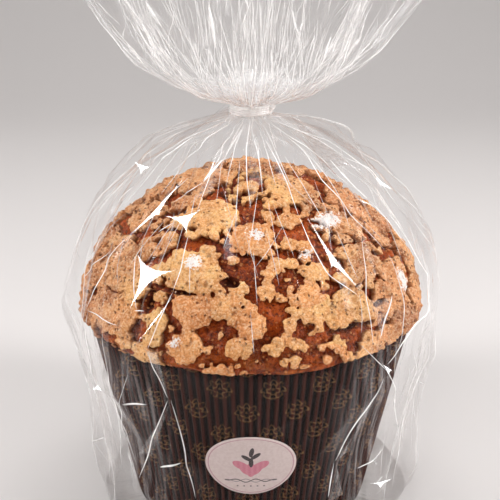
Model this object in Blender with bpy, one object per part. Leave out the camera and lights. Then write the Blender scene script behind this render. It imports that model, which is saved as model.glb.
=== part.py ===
# A panettone in a clear gift bag, as solids at real size.
# Metres, +Z up. The origin is the middle of the paper case's underside, and the front faces -Y.
# The bag's body is a solid out to the film's outer form, with a recess that holds the loaf and its case.
# Its gathered mouth, above the tie, is a flared funnel.

import math
import random

import bpy
import bmesh
import numpy as np
from mathutils import Vector

# Driving dimensions
GAP = 0.0003

CASE_HEIGHT = 0.110
RIM_RADIUS = 0.085
BASE_RADIUS = 0.0635
FLUTES = 126
FLUTE_DEPTH = 0.0016
PAPER_WALL = 0.0012

DOME_RADIUS = 0.088
DOME_MIDDLE = 0.103
DOME_TOP = 0.176
DOME_POWER = 1.8
DOME_RINGS = 22

PLATE_HEIGHT = 0.0024
PLATE_EDGE = 0.24
PLATE_COUNT = 100
PLATE_SPACING = 0.92
SMALLEST_PLATE = 0.005
LARGEST_PLATE = 0.011
LUMP_HEIGHT = 0.0012
LUMP_SIZE = 0.013
MOST_RELIEF = PLATE_HEIGHT + LUMP_HEIGHT

LABEL_WIDTH = 0.044
LABEL_HEIGHT = 0.0376
LABEL_MIDDLE = 0.0514
LABEL_THICKNESS = 0.0005

NECK_RADIUS = 0.0085
TIE_BOTTOM = 0.2052
TIE_TOP = 0.2108
TIE_WRAPS = 4
TIE_WIRE = 0.0014
TIE_TAIL = 0.0045
TIE_TAIL_TURN = 62

BODY_ROWS = 15
BODY_DEPTH_SHARE = 0.975
SIDE_FOLD = 0.018
SIDE_FOLD_START = 0.86
FOOT_FOLDS = ((5, 0.022, 0.8), (9, 0.012, 2.0))

MOUTH_DEPTH_SHARE = 0.72
MOUTH_WALL = 0.003
MOUTH_WAVES = 9
MOUTH_WAVE_DEPTH = 0.38
MOUTH_WAVE_LIFT = 0.006

# Pleats are ridges and valleys in turn round the neck, each fading out at its own height
PLEATS = 34
PLEAT_DEPTH = 0.075
PLEAT_REACH = (0.090, 0.180)
CRUMPLE = 0.0009
ROW_SCATTER = 0.30

# Half widths and heights of the bag's outline: its body up to the neck, then its mouth
BODY_OUTLINE = (
    (0.0830, 0.0000), (0.0855, 0.0250), (0.0890, 0.0600), (0.0935, 0.0900), (0.0970, 0.1130),
    (0.0920, 0.1390), (0.0785, 0.1620), (0.0590, 0.1805), (0.0360, 0.1965), (0.0165, 0.2030),
    (NECK_RADIUS, 0.2046),
)
MOUTH_OUTLINE = (
    (NECK_RADIUS, 0.2112), (0.0200, 0.2138), (0.0345, 0.2195), (0.0480, 0.2280),
    (0.0590, 0.2385), (0.0700, 0.2525), (0.0815, 0.2685), (0.0980, 0.2930),
)

# The crust's largest plates on the front: turn from the front and tilt from the top in degrees,
# then half width and half height
FRONT_PLATES = (
    (-25, 31, 0.0156, 0.0098), (-23, 51, 0.0172, 0.0107), (0, 38, 0.0115, 0.0098),
    (-40, 42, 0.0045, 0.0043), (-47, 47, 0.0085, 0.0056), (11, 47, 0.0080, 0.0043),
    (27, 51, 0.0062, 0.0048), (20, 58, 0.0068, 0.0062), (21, 65, 0.0094, 0.0057),
    (5, 56, 0.0049, 0.0062), (-9, 61, 0.0090, 0.0067), (0, 65, 0.0071, 0.0070),
    (-19, 63, 0.0106, 0.0084), (-20, 75, 0.0090, 0.0074), (-49, 72, 0.0165, 0.0100),
    (-31, 72, 0.0060, 0.0090), (35, 64, 0.0108, 0.0082), (54, 38, 0.0140, 0.0110),
    (61, 64, 0.0150, 0.0102), (-71, 15, 0.0110, 0.0165), (45, 19, 0.0130, 0.0120),
    (55, 78, 0.0113, 0.0085), (46, 54, 0.0150, 0.0094), (22, 32, 0.0064, 0.0049),
    (17, 41, 0.0067, 0.0040), (-61, 56, 0.0150, 0.0115), (-71, 39, 0.0140, 0.0085),
    (-47, 60, 0.0110, 0.0082),
)


def material(name, colour, roughness, metallic=0.0, alpha=1.0):
    mat = bpy.data.materials.new(name)
    mat.use_nodes = True
    shader = mat.node_tree.nodes["Principled BSDF"]
    shader.inputs["Base Color"].default_value = (*colour, 1.0)
    shader.inputs["Roughness"].default_value = roughness
    shader.inputs["Metallic"].default_value = metallic
    shader.inputs["Alpha"].default_value = alpha
    return mat


def add_object(name, mesh_data, mat, sharp_angle):
    """The bmesh as a named object: faces outwards, smooth but for its sharp edges."""
    bmesh.ops.recalc_face_normals(mesh_data, faces=mesh_data.faces)
    mesh = bpy.data.meshes.new(name)
    mesh_data.to_mesh(mesh)
    mesh_data.free()
    mesh.materials.append(mat)
    mesh.shade_smooth()
    mesh.set_sharp_from_angle(angle=math.radians(sharp_angle))
    obj = bpy.data.objects.new(name, mesh)
    bpy.context.scene.collection.objects.link(obj)
    return obj


def bridge(mesh_data, low, high):
    """Joins two rings of vertices with triangles, whatever their counts, both starting at the same turn."""
    i, j = 0, 0
    while i < len(low) or j < len(high):
        a, b = low[i % len(low)], high[j % len(high)]
        if j == len(high) or (i < len(low) and (i + 1) * len(high) <= (j + 1) * len(low)):
            i += 1
            mesh_data.faces.new((a, low[i % len(low)], b))
        else:
            j += 1
            mesh_data.faces.new((a, high[j % len(high)], b))


def loft(rings, start, end):
    """A closed body through rings of points, shut by a point at each end."""
    mesh_data = bmesh.new()
    first = mesh_data.verts.new(start)
    last = mesh_data.verts.new(end)
    loops = [[mesh_data.verts.new(point) for point in points] for points in rings]
    for low, high in zip(loops, loops[1:]):
        bridge(mesh_data, low, high)
    for pole, loop in ((first, loops[0]), (last, loops[-1])):
        for a, b in zip(loop, loop[1:] + loop[:1]):
            mesh_data.faces.new((pole, a, b))
    return mesh_data


def ring(radii, height, turns):
    """Points round the axis; a turn of 0 is the front and grows towards +X."""
    return [(r * math.sin(t), -r * math.cos(t), height) for r, t in zip(radii, turns)]


def even_turns(count):
    return [2 * math.pi * i / count for i in range(count)]


def along(points, place):
    """The smooth curve through the points, at a place counted in points from the first."""
    line = np.array(points, float)
    line = np.vstack((2 * line[0] - line[1], line, 2 * line[-1] - line[-2]))
    start = min(int(place), len(points) - 2)
    a, b, c, d = line[start:start + 4]
    t = place - start
    return 0.5 * (2 * b + (c - a) * t + (2 * a - 5 * b + 4 * c - d) * t**2 + (3 * b - a - 3 * c + d) * t**3)


def case_radius(height):
    """Outer radius of the case at the crests of its flutes."""
    return BASE_RADIUS + (RIM_RADIUS - BASE_RADIUS) * height / CASE_HEIGHT


def dome_point(turn, tilt):
    """A point of the smooth dome; a tilt of 0 is the top and a quarter turn its widest ring."""
    power = 2 / DOME_POWER
    radius = DOME_RADIUS * math.sin(tilt) ** power
    height = DOME_MIDDLE + (DOME_TOP - DOME_MIDDLE) * max(math.cos(tilt), 0.0) ** power
    return Vector((radius * math.sin(turn), -radius * math.cos(turn), height))


def crust_plates():
    """The crust's plates as (middle, half width, half height): the front's large ones, then a scatter."""
    plates = [(dome_point(math.radians(turn), math.radians(tilt)), width, height)
              for turn, tilt, width, height in FRONT_PLATES]
    draw = random.Random(7)
    for _ in range(4000):
        if len(plates) == PLATE_COUNT:
            break
        turn = draw.uniform(0, 2 * math.pi)
        tilt = math.acos(draw.uniform(0.0, 1.0))
        size = draw.uniform(SMALLEST_PLATE, LARGEST_PLATE)
        middle = dome_point(turn, tilt)
        if all((middle - other).length > PLATE_SPACING * (size + (width + height) / 2)
               for other, width, height in plates):
            plates.append((middle, size * draw.uniform(0.95, 1.25), size))
    return plates


def crust_relief(point, outward, plates):
    """How far the crust stands out at a point: raised plates with dips between, over broad lumps."""
    across = Vector((-outward.y, outward.x, 0.0))
    across = across.normalized() if across.length > 1e-6 else Vector((1.0, 0.0, 0.0))
    down = outward.cross(across)
    nearest = min(math.hypot((point - middle).dot(across) / width, (point - middle).dot(down) / height)
                  for middle, width, height in plates)
    plate = min(max((1 - nearest) / PLATE_EDGE + 0.5, 0.0), 1.0)
    lump = math.sin(point.x / LUMP_SIZE + 0.7) * math.sin(0.9 * point.y / LUMP_SIZE + 1.9)
    lump *= math.cos(1.1 * point.z / LUMP_SIZE)
    return PLATE_HEIGHT * (plate - 0.35) + LUMP_HEIGHT * lump


def make_case():
    """The fluted paper case: an open cup with a flat floor, whose flutes run straight up its sides."""
    turns = even_turns(2 * FLUTES)
    lip = PAPER_WALL + FLUTE_DEPTH

    def fluted(radius):
        return [radius - (i % 2) * FLUTE_DEPTH for i in range(2 * FLUTES)]

    def plain(radius):
        return [radius] * (2 * FLUTES)

    rings = (
        ring(fluted(case_radius(0.0)), 0.0, turns),
        ring(fluted(case_radius(CASE_HEIGHT)), CASE_HEIGHT, turns),
        ring(plain(case_radius(CASE_HEIGHT) - lip), CASE_HEIGHT, turns),
        ring(plain(case_radius(PAPER_WALL) - lip), PAPER_WALL, turns),
    )
    paper = material("case_paper", (0.045, 0.020, 0.013), 0.6)
    return add_object("case", loft(rings, (0, 0, 0), (0, 0, PAPER_WALL)), paper, 25)


def make_bread():
    """The loaf: it fills the case, bulges over its rim and rises to a dome of crusted plates."""
    plates = crust_plates()
    count = 6 * DOME_RINGS
    turns = even_turns(count)
    floor = PAPER_WALL + GAP
    lip = PAPER_WALL + FLUTE_DEPTH + GAP
    over_rim = CASE_HEIGHT + GAP
    rings = [
        ring([case_radius(floor) - lip] * count, floor, turns),
        ring([case_radius(over_rim) - lip] * count, over_rim, turns),
        ring([DOME_RADIUS - FLUTE_DEPTH] * count, over_rim, turns),
    ]
    edge_share = (over_rim + FLUTE_DEPTH - DOME_MIDDLE) / (DOME_TOP - DOME_MIDDLE)
    lowest = math.acos(edge_share ** (DOME_POWER / 2))
    for row in range(DOME_RINGS, 0, -1):
        tilt = lowest * row / DOME_RINGS
        fade = min((DOME_RINGS + 1 - row) / 2, 1.0)
        points = []
        for turn in even_turns(6 * row):
            point = dome_point(turn, tilt)
            outward = (point - Vector((0, 0, DOME_MIDDLE))).normalized()
            points.append(point + outward * crust_relief(point, outward, plates) * fade)
        rings.append(points)
    crust = material("baked_crust", (0.50, 0.24, 0.10), 0.65)
    return add_object("bread", loft(rings, (0, 0, floor), (0, 0, DOME_TOP)), crust, 60)


def make_label():
    """The oval sticker on the front of the case, bent round it."""
    slope = (RIM_RADIUS - BASE_RADIUS) / CASE_HEIGHT
    lean = math.cos(math.atan(slope))

    def sheet_point(share, turn, lift):
        height = LABEL_MIDDLE + share * LABEL_HEIGHT / 2 * math.cos(turn) * lean
        radius = case_radius(height) + lift
        bend = share * LABEL_WIDTH / 2 * math.sin(turn) / case_radius(LABEL_MIDDLE)
        return (radius * math.sin(bend), -radius * math.cos(bend), height)

    turns = even_turns(36)
    front = GAP + LABEL_THICKNESS
    layers = ((0.35, GAP), (0.7, GAP), (1.0, GAP), (1.0, front), (0.7, front), (0.35, front))
    rings = [[sheet_point(share, turn, lift) for turn in turns] for share, lift in layers]
    sticker = material("label_paper", (0.72, 0.60, 0.58), 0.35)
    return add_object("label", loft(rings, sheet_point(0, 0, GAP), sheet_point(0, 0, front)), sticker, 40)


def pleat_edges():
    """Each pleat edge's turn, how far it stands out or in, and the height where it has faded out."""
    draw = random.Random(21)
    edges = []
    for i in range(2 * PLEATS):
        turn = math.pi * (i + draw.uniform(-0.28, 0.28)) / PLEATS
        depth = draw.uniform(0.35, 1.0) * (1 if i % 2 else -1)
        edges.append((turn, depth, draw.uniform(*PLEAT_REACH)))
    return edges


def body_point(edge, place, crumple):
    """A point of the film round the loaf: side folds, a few broad folds at the foot, pleats by the neck."""
    turn, depth, reach = edge
    width, height = along(BODY_OUTLINE, place)
    neck_height = BODY_OUTLINE[-1][1]
    pleat = PLEAT_DEPTH * depth * min(max((height - reach) / (neck_height - reach), 0.0), 1.0)
    side = SIDE_FOLD * max(0.0, abs(math.sin(turn)) - SIDE_FOLD_START) / (1 - SIDE_FOLD_START)
    free = 1 - min(height / CASE_HEIGHT, 1.0)
    broad = free * sum(share * math.sin(count * turn + start) for count, share, start in FOOT_FOLDS)
    radius = width * (1 + side + broad + pleat) + crumple * min(width / RIM_RADIUS, 1.0)
    return (radius * math.sin(turn), -radius * math.cos(turn) * BODY_DEPTH_SHARE, height)


def mouth_point(edge, place, crumple, wall):
    """A point of the gathered mouth above the tie: a fan of deep waves, wider than it is deep."""
    turn, depth, _ = edge
    width, height = along(MOUTH_OUTLINE, place)
    start, end = MOUTH_OUTLINE[0][1], MOUTH_OUTLINE[-1][1]
    spread = (height - start) / (end - start)
    wave = 0.5 - 0.5 * math.cos(MOUTH_WAVES * turn + 0.9 * math.sin(2 * turn + 0.5))
    wave *= 0.78 + 0.22 * math.sin(3 * turn + 1.2)
    dip = MOUTH_WAVE_DEPTH * wave * min(spread * 1.6, 1.0)
    radius = width * (1 - dip + PLEAT_DEPTH * depth * 0.7) + crumple * min(width / RIM_RADIUS, 1.0)
    radius = max(radius - wall, NECK_RADIUS / 4)
    flat = 1 - (1 - MOUTH_DEPTH_SHARE) * min(spread * 3, 1.0)
    height += MOUTH_WAVE_LIFT * wave * spread
    return (radius * math.sin(turn), -radius * math.cos(turn) * flat, height)


def film_rows(outline, rows, edges, seed, point_at):
    """Rows of film points up an outline, the inner ones scattered up and down and crumpled in and out."""
    draw = random.Random(seed)
    last = len(outline) - 1
    found = []
    for row in range(rows + 1):
        loose = 0.0 if row in (0, rows) else 1.0
        points = []
        for edge in edges:
            place = last * (row + loose * draw.uniform(-ROW_SCATTER, ROW_SCATTER)) / rows
            points.append(point_at(edge, place, loose * draw.uniform(-CRUMPLE, CRUMPLE)))
        found.append(points)
    return found


def recess_outline():
    """Radius and height down the recess, just clear of the crust, the rim, the label and the case."""
    clear = MOST_RELIEF + GAP
    outline = []
    for step in range(1, 9):
        point = dome_point(0.0, math.radians(10.2 * step))
        outward = (point - Vector((0, 0, DOME_MIDDLE))).normalized()
        point += outward * clear
        outline.append((math.hypot(point.x, point.y), point.z))
    outline.append((DOME_RADIUS + clear, CASE_HEIGHT - GAP))
    side = 3 * GAP + LABEL_THICKNESS
    outline.append((case_radius(CASE_HEIGHT) + side, CASE_HEIGHT - MOST_RELIEF))
    outline.append((case_radius(0.0) + side, 0.0))
    return outline


def make_bag():
    """The film round the loaf, out to its outer form: a tented body with a recess, up to the middle of the tie."""
    edges = pleat_edges()
    turns = [edge[0] for edge in edges]
    rings = [ring([radius] * len(turns), height, turns) for radius, height in recess_outline()]
    rings += film_rows(BODY_OUTLINE, BODY_ROWS, edges, 5, body_point)
    neck_top = (TIE_BOTTOM + TIE_TOP - GAP) / 2
    rings.append([(x, y, neck_top) for x, y, _ in rings[-1]])
    top_of_recess = (0, 0, DOME_TOP + MOST_RELIEF + GAP)
    film = material("clear_film", (0.85, 0.85, 0.86), 0.1, alpha=0.35)
    return add_object("bag", loft(rings, top_of_recess, (0, 0, neck_top)), film, 12)


def make_mouth():
    """The film above the tie: a stem in the tie, then a flared funnel with an open top and deep waves."""
    edges = pleat_edges()

    def outer(edge, place, crumple):
        return mouth_point(edge, place, crumple, 0.0)

    def inner(edge, place, crumple):
        return mouth_point(edge, place, crumple, MOUTH_WALL)

    rows = len(MOUTH_OUTLINE) - 1
    outside = film_rows(MOUTH_OUTLINE, rows, edges, 9, outer)
    inside = film_rows(MOUTH_OUTLINE, rows, edges, 9, inner)
    stem_foot = (TIE_BOTTOM + TIE_TOP + GAP) / 2
    stem = [(x, y, stem_foot) for x, y, _ in outside[0]]
    funnel_floor = (0, 0, MOUTH_OUTLINE[1][1] - GAP)
    film = material("clear_film_mouth", (0.85, 0.85, 0.86), 0.1, alpha=0.35)
    rings = [stem] + outside + inside[:1:-1]
    return add_object("mouth", loft(rings, (0, 0, stem_foot), funnel_floor), film, 12)


def make_tie():
    """The clear tie: a few wraps of thin wire close round the neck, with its tails twisted at one side."""
    turns = even_turns(36)
    pleated_neck = NECK_RADIUS * (1 + PLEAT_DEPTH) + GAP
    rise = (TIE_TOP - TIE_BOTTOM) / (2 * TIE_WRAPS)
    outline = [(pleated_neck, TIE_BOTTOM)]
    for step in range(2 * TIE_WRAPS + 1):
        outline.append((pleated_neck + TIE_WIRE * (0.55 if step % 2 == 0 else 1.0), TIE_BOTTOM + rise * step))
    outline.append((pleated_neck, TIE_TOP))
    mesh_data = bmesh.new()
    loops = [[mesh_data.verts.new(p) for p in ring([radius] * len(turns), height, turns)]
             for radius, height in outline]
    for low, high in zip(loops, loops[1:] + loops[:1]):
        bridge(mesh_data, low, high)
    plastic = material("tie_plastic", (0.80, 0.80, 0.80), 0.3)
    tie = add_object("tie", mesh_data, plastic, 30)

    # The tails are a small flat cone that is joined to the wraps at the front right
    tails = bmesh.new()
    bmesh.ops.create_cone(tails, cap_ends=True, segments=10, radius1=0.0021, radius2=0.0009, depth=TIE_TAIL)
    tails_guide = add_object("tails_guide", tails, plastic, 30)
    turn = math.radians(TIE_TAIL_TURN)
    reach = pleated_neck + TIE_WIRE * 0.45 + TIE_TAIL / 2
    tails_guide.rotation_euler = (math.radians(90), 0.0, turn)
    tails_guide.location = (reach * math.sin(turn), -reach * math.cos(turn), (TIE_BOTTOM + TIE_TOP) / 2)
    tails_guide.hide_render = True
    tails_guide.display_type = "WIRE"
    union = tie.modifiers.new("tails", "BOOLEAN")
    union.operation = "UNION"
    union.object = tails_guide
    return tie


def clear_scene():
    for obj in list(bpy.data.objects):
        bpy.data.objects.remove(obj, do_unlink=True)


clear_scene()
make_case()
make_bread()
make_label()
make_bag()
make_mouth()
make_tie()
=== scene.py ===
# %% [markdown]
# # A panettone in a clear gift bag
# The real thing is a sweet loaf that rose out of a fluted paper case, under a glaze that cracked into pale
# plates while it baked. It stands in a clear film bag that is gathered over the loaf and tied.
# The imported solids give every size. Each is dressed here by a finer piece of the same form.

# %% The frame and the tools
import itertools
import math
import random

import bpy
import numpy as np
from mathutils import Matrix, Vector
from mathutils.bvhtree import BVHTree


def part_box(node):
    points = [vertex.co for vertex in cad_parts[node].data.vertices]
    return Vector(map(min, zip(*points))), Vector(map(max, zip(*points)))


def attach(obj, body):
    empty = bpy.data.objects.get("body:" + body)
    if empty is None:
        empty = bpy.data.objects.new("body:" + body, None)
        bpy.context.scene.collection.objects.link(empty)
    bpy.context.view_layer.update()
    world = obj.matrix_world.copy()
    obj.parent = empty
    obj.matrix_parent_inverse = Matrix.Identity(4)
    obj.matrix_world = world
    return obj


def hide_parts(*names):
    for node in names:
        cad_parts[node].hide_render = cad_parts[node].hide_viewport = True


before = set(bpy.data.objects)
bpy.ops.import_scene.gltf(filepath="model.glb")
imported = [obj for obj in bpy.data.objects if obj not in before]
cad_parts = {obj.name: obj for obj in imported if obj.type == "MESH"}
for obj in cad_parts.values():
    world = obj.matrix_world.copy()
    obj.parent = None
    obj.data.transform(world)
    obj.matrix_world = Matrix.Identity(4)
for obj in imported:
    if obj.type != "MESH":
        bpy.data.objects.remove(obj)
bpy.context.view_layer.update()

scene = bpy.context.scene
print("nodes:", sorted(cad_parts))

# %% [markdown]
# ## Sizes
# These are the loaf's and the bag's driving sizes in metres, as the solids have them. The origin is the
# middle of the case's underside, the front faces -Y, and a turn is counted from the front towards +X.

# %% Sizes
CASE_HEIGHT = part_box("case")[1][2]
RIM_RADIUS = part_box("case")[1][0]
BASE_RADIUS = 0.0635
FLUTES = 126
FLUTE_DEPTH = 0.0016
DOME_RADIUS = 0.088
DOME_MIDDLE = 0.103
DOME_TOP = 0.176
DOME_POWER = 1.8
NECK_RADIUS = 0.0085
TIE_BOTTOM = 0.2052
TIE_TOP = 0.2108
TABLE = -0.0006
print(f"case {CASE_HEIGHT * 1000:.0f} mm high, rim {2000 * RIM_RADIUS:.0f} mm wide")

# %% [markdown]
# ## The camera and the studio
# The camera stands half a metre off and looks down by about a quarter of a right angle. Its place was fitted
# to the case's rim and sloping sides. The floor sweeps up into a backdrop in one curve, so that no horizon
# shows.

# %% The camera
PHOTO_PIXELS = 500
FOCAL_PIXELS = 1000
SENSOR_MM = 36
CAMERA_PITCH = 22.2
CAMERA_PLACE = (-0.0004, -0.478, 0.328)

lens = bpy.data.cameras.new("lens")
lens.sensor_width = SENSOR_MM
lens.lens = lens.sensor_width * FOCAL_PIXELS / PHOTO_PIXELS
lens.clip_start = 0.01
camera = bpy.data.objects.new("camera", lens)
camera.location = CAMERA_PLACE
camera.rotation_euler = (math.radians(90 - CAMERA_PITCH), 0, 0)
scene.collection.objects.link(camera)
scene.camera = camera
print(f"camera: {lens.lens:.0f} mm lens, {CAMERA_PITCH} degrees down")

# %% [markdown]
# ## A few tools for meshes and noise
# A mesh is made from arrays of points and faces, which is quick for dense surfaces. The noise is worked out
# on arrays too: a smooth random value for each point in space, the same on every run. Summed at halving
# sizes it gives the ragged edges and crumbs of baked sugar.

# %% Mesh and noise helpers
def mesh_object(name, points, faces, smooth=True):
    """A new object from points and faces, at the origin."""
    mesh = bpy.data.meshes.new(name)
    sizes = np.array([len(face) for face in faces])
    corners = np.fromiter(itertools.chain.from_iterable(faces), np.int32)
    mesh.vertices.add(len(points))
    mesh.vertices.foreach_set("co", np.asarray(points, np.float32).ravel())
    mesh.loops.add(len(corners))
    mesh.loops.foreach_set("vertex_index", corners)
    mesh.polygons.add(len(sizes))
    mesh.polygons.foreach_set("loop_start", (np.cumsum(sizes) - sizes).astype(np.int32))
    mesh.update(calc_edges=True)
    mesh.validate()
    if smooth:
        mesh.shade_smooth()
    else:
        mesh.shade_flat()
    obj = bpy.data.objects.new(name, mesh)
    scene.collection.objects.link(obj)
    return obj


def give_values(obj, name, values):
    """Stores one number for each of the mesh's points, for its material to read."""
    layer = obj.data.attributes.new(name, "FLOAT", "POINT")
    layer.data.foreach_set("value", np.asarray(values, np.float32))


def smoothstep(low, high, values):
    t = np.clip((values - low) / (high - low), 0, 1)
    return t * t * (3 - 2 * t)


def scrambled(cells, seed):
    """A number from 0 to 1 for each whole-numbered cell."""
    x, y, z = (cells[:, i].astype(np.uint32) for i in range(3))
    mixed = x * np.uint32(374761393) + y * np.uint32(668265263) + z * np.uint32(3266489917)
    mixed = mixed + np.uint32(seed * 974634777 % 2**32)
    mixed = (mixed ^ (mixed >> np.uint32(13))) * np.uint32(1274126177)
    return ((mixed ^ (mixed >> np.uint32(16))) & np.uint32(0xFFFFFF)) / float(0xFFFFFF)


def noise(points, size, seed):
    """Smooth noise from -1 to 1, whose bumps are about one size across."""
    place = points / size
    cell = np.floor(place)
    part = place - cell
    part = part * part * (3 - 2 * part)
    cell = cell.astype(np.int64)
    total = np.zeros(len(points))
    for corner in itertools.product((0, 1), repeat=3):
        weight = np.prod(np.where(corner, part, 1 - part), axis=1)
        total += weight * scrambled(cell + np.array(corner), seed)
    return 2 * total - 1


def fractal(points, size, octaves, seed):
    """Noise at a size, its half, its quarter and so on, each half as strong."""
    layers = [noise(points, size / 2**k, seed + 17 * k) / 2**k for k in range(octaves)]
    return sum(layers) / (2 - 2 ** (1 - octaves))


def layered(points, layers):
    """Layers of noise added up, each given as its height, size, octaves and seed."""
    return sum(height * fractal(points, size, octaves, seed) for height, size, octaves, seed in layers)


def around(radius, turn, height):
    """Points at a distance from the upright axis, a turn from the front and a height."""
    radius, turn, height = np.broadcast_arrays(radius, turn, height)
    return np.stack((radius * np.sin(turn), -radius * np.cos(turn), height), axis=-1)


def turn_of(points):
    """How far round from the front each point lies, in radians."""
    return np.arctan2(points[..., 0], -points[..., 1])


def unit(vectors):
    """The vectors at length 1."""
    return vectors / np.maximum(np.linalg.norm(vectors, axis=-1, keepdims=True), 1e-12)


def grid_edge(side):
    """The numbers of the outermost points of a square grid, in order round it."""
    index = np.arange(side * side).reshape(side, side)
    return np.concatenate((index[0, :-1], index[:-1, -1], index[-1, :0:-1], index[:0:-1, 0]))


sample = fractal(np.random.default_rng(1).uniform(0, 1, (1000, 3)), 0.02, 3, 1)
print(f"noise at 1000 places runs from {sample.min():.2f} to {sample.max():.2f}")

# %% [markdown]
# ## A short way to write node networks
# Materials and Geometry Nodes are networks of nodes. Here a small class wraps a node's output, and Python's
# own signs add the maths nodes, so a pattern is written as an ordinary formula. One method makes any other
# node, in both kinds of network.

# %% Values and networks
class Value:
    """An output of a node that can be used in a formula."""

    def __init__(self, network, socket):
        self.network = network
        self.socket = socket

    def maths(self, operation, *others, clamp=False):
        settings = {"operation": operation, "use_clamp": clamp}
        return self.network.node("ShaderNodeMath", settings, self, *others)

    def __add__(self, other):
        return self.maths("ADD", other)

    def __sub__(self, other):
        return self.maths("SUBTRACT", other)

    def __mul__(self, other):
        return self.maths("MULTIPLY", other)

    def __truediv__(self, other):
        return self.maths("DIVIDE", other)

    def __rsub__(self, other):
        return self.network.node("ShaderNodeMath", {"operation": "SUBTRACT"}, other, self)

    def __rtruediv__(self, other):
        return self.network.node("ShaderNodeMath", {"operation": "DIVIDE"}, other, self)

    __radd__ = __add__
    __rmul__ = __mul__

    def step(self, low, high):
        """0 below low, 1 above high and a smooth rise between; high may be the smaller."""
        if high < low:
            return 1 - self.step(high, low)
        settings = {"interpolation_type": "SMOOTHSTEP"}
        return self.network.node("ShaderNodeMapRange", settings, self, low, high, 0.0, 1.0)

    def clamped(self):
        return self.maths("ADD", 0.0, clamp=True)


class Network:
    """A network of nodes: the base of a material's and of a Geometry Nodes tree."""

    def __init__(self, tree):
        self.nodes = tree.nodes
        self.links = tree.links

    def join(self, source, socket):
        """Feeds a socket from a value or sets it to a number, colour or choice. Nothing leaves it alone."""
        if isinstance(source, Value):
            self.links.new(source.socket, socket)
        elif isinstance(source, tuple) and socket.type == "RGBA":
            socket.default_value = (*source, 1.0)
        elif source is not None:
            socket.default_value = source

    def node(self, kind, settings=None, *inputs, output=0, **named):
        """Any node: its settings first, then its sockets in order or by name."""
        made = self.nodes.new(kind)
        for key, setting in (settings or {}).items():
            setattr(made, key, setting)
        for socket, source in zip(made.inputs, inputs):
            self.join(source, socket)
        for key, source in named.items():
            self.join(source, made.inputs[key.replace("_", " ")])
        return Value(self, made.outputs[output])

    def parts(self, vector):
        """A vector's three parts."""
        made = self.node("ShaderNodeSeparateXYZ", None, vector).socket.node
        return [Value(self, socket) for socket in made.outputs]

    def stretched(self, vector, scales):
        """A vector with each of its parts made larger or smaller."""
        return self.node("ShaderNodeVectorMath", {"operation": "MULTIPLY"}, vector, scales)


CLEAR_TINT = (0.985, 0.983, 0.982)


class Paint(Network):
    """A material's network, with a Principled shader to finish it."""

    def __init__(self, name):
        self.material = bpy.data.materials.new(name)
        self.material.use_nodes = True
        super().__init__(self.material.node_tree)
        self.shader = self.nodes["Principled BSDF"]

    def place(self):
        return self.node("ShaderNodeTexCoord", output="Object")

    def attribute(self, name):
        return self.node("ShaderNodeAttribute", {"attribute_name": name}, output="Fac")

    def noise(self, place, scale, detail=3.0, roughness=0.55):
        return self.node("ShaderNodeTexNoise", None, Vector=place, Scale=scale, Detail=detail,
                         Roughness=roughness, output="Fac")

    def mix(self, share, first, second):
        """Two colours mixed. The node keeps its colour sockets after those for numbers and vectors."""
        numbers_and_vectors = [None] * 5
        return self.node("ShaderNodeMix", {"data_type": "RGBA"}, share, *numbers_and_vectors, first, second,
                         output=2)

    def bump(self, height, strength, distance):
        return self.node("ShaderNodeBump", None, Height=height, Strength=strength, Distance=distance)

    def finish(self, **sockets):
        """Feeds the Principled shader's sockets by name and gives the material."""
        for key, source in sockets.items():
            self.join(source, self.shader.inputs[key.replace("_", " ")])
        return self.material

    def seen_through(self, share):
        """Lets all but a share of the light pass, as clear film does, and gives the material."""
        clear = self.node("ShaderNodeBsdfTransparent", None, CLEAR_TINT)
        share = share.clamped() if isinstance(share, Value) else share
        covered = Value(self, self.shader.outputs[0])
        mixed = self.node("ShaderNodeMixShader", None, share, clear, covered)
        self.links.new(mixed.socket, self.nodes["Material Output"].inputs["Surface"])
        return self.material


def colour(red, green, blue):
    """A colour as a screen shows it, from 0 to 255, in the linear light that shaders use."""
    shares = [part / 255 for part in (red, green, blue)]
    return tuple(c / 12.92 if c < 0.04 else ((c + 0.055) / 1.055) ** 2.4 for c in shares)


print(f"a screen's grey of 188 is {colour(188, 188, 188)[0]:.2f} of full light")

# %% [markdown]
# ## The studio
# Light from softboxes is what makes film readable: each flat bit of film that faces a box flashes white.
# The boxes are therefore fairly small and bright, and the rest of the room is dim and even.

# %% The sweep
FLOOR_NEAR = -1.2
FLOOR_BEND = 0.78
BEND_RADIUS = 0.80
BACKDROP_TOP = 2.2
SWEEP_HALF_WIDTH = 3.0
BEND_STEPS = 16


def make_sweep():
    """The floor and backdrop as one curved sheet."""
    profile = [(y, TABLE) for y in (FLOOR_NEAR, -0.4, 0.0, FLOOR_BEND)]
    for i in range(1, BEND_STEPS + 1):
        angle = math.pi / 2 * i / BEND_STEPS
        height = TABLE + BEND_RADIUS * (1 - math.cos(angle))
        profile.append((FLOOR_BEND + BEND_RADIUS * math.sin(angle), height))
    profile.append((FLOOR_BEND + BEND_RADIUS, BACKDROP_TOP))
    points = [(x, y, z) for y, z in profile for x in (-SWEEP_HALF_WIDTH, SWEEP_HALF_WIDTH)]
    faces = [(2 * i, 2 * i + 1, 2 * i + 3, 2 * i + 2) for i in range(len(profile) - 1)]
    sweep = mesh_object("studio_sweep", points, faces)
    paint = Paint("studio_paper")
    sweep.data.materials.append(paint.finish(Base_Color=colour(226, 221, 219), Roughness=0.9))
    return sweep


sweep = make_sweep()
print("sweep:", len(sweep.data.polygons), "faces")

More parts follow.
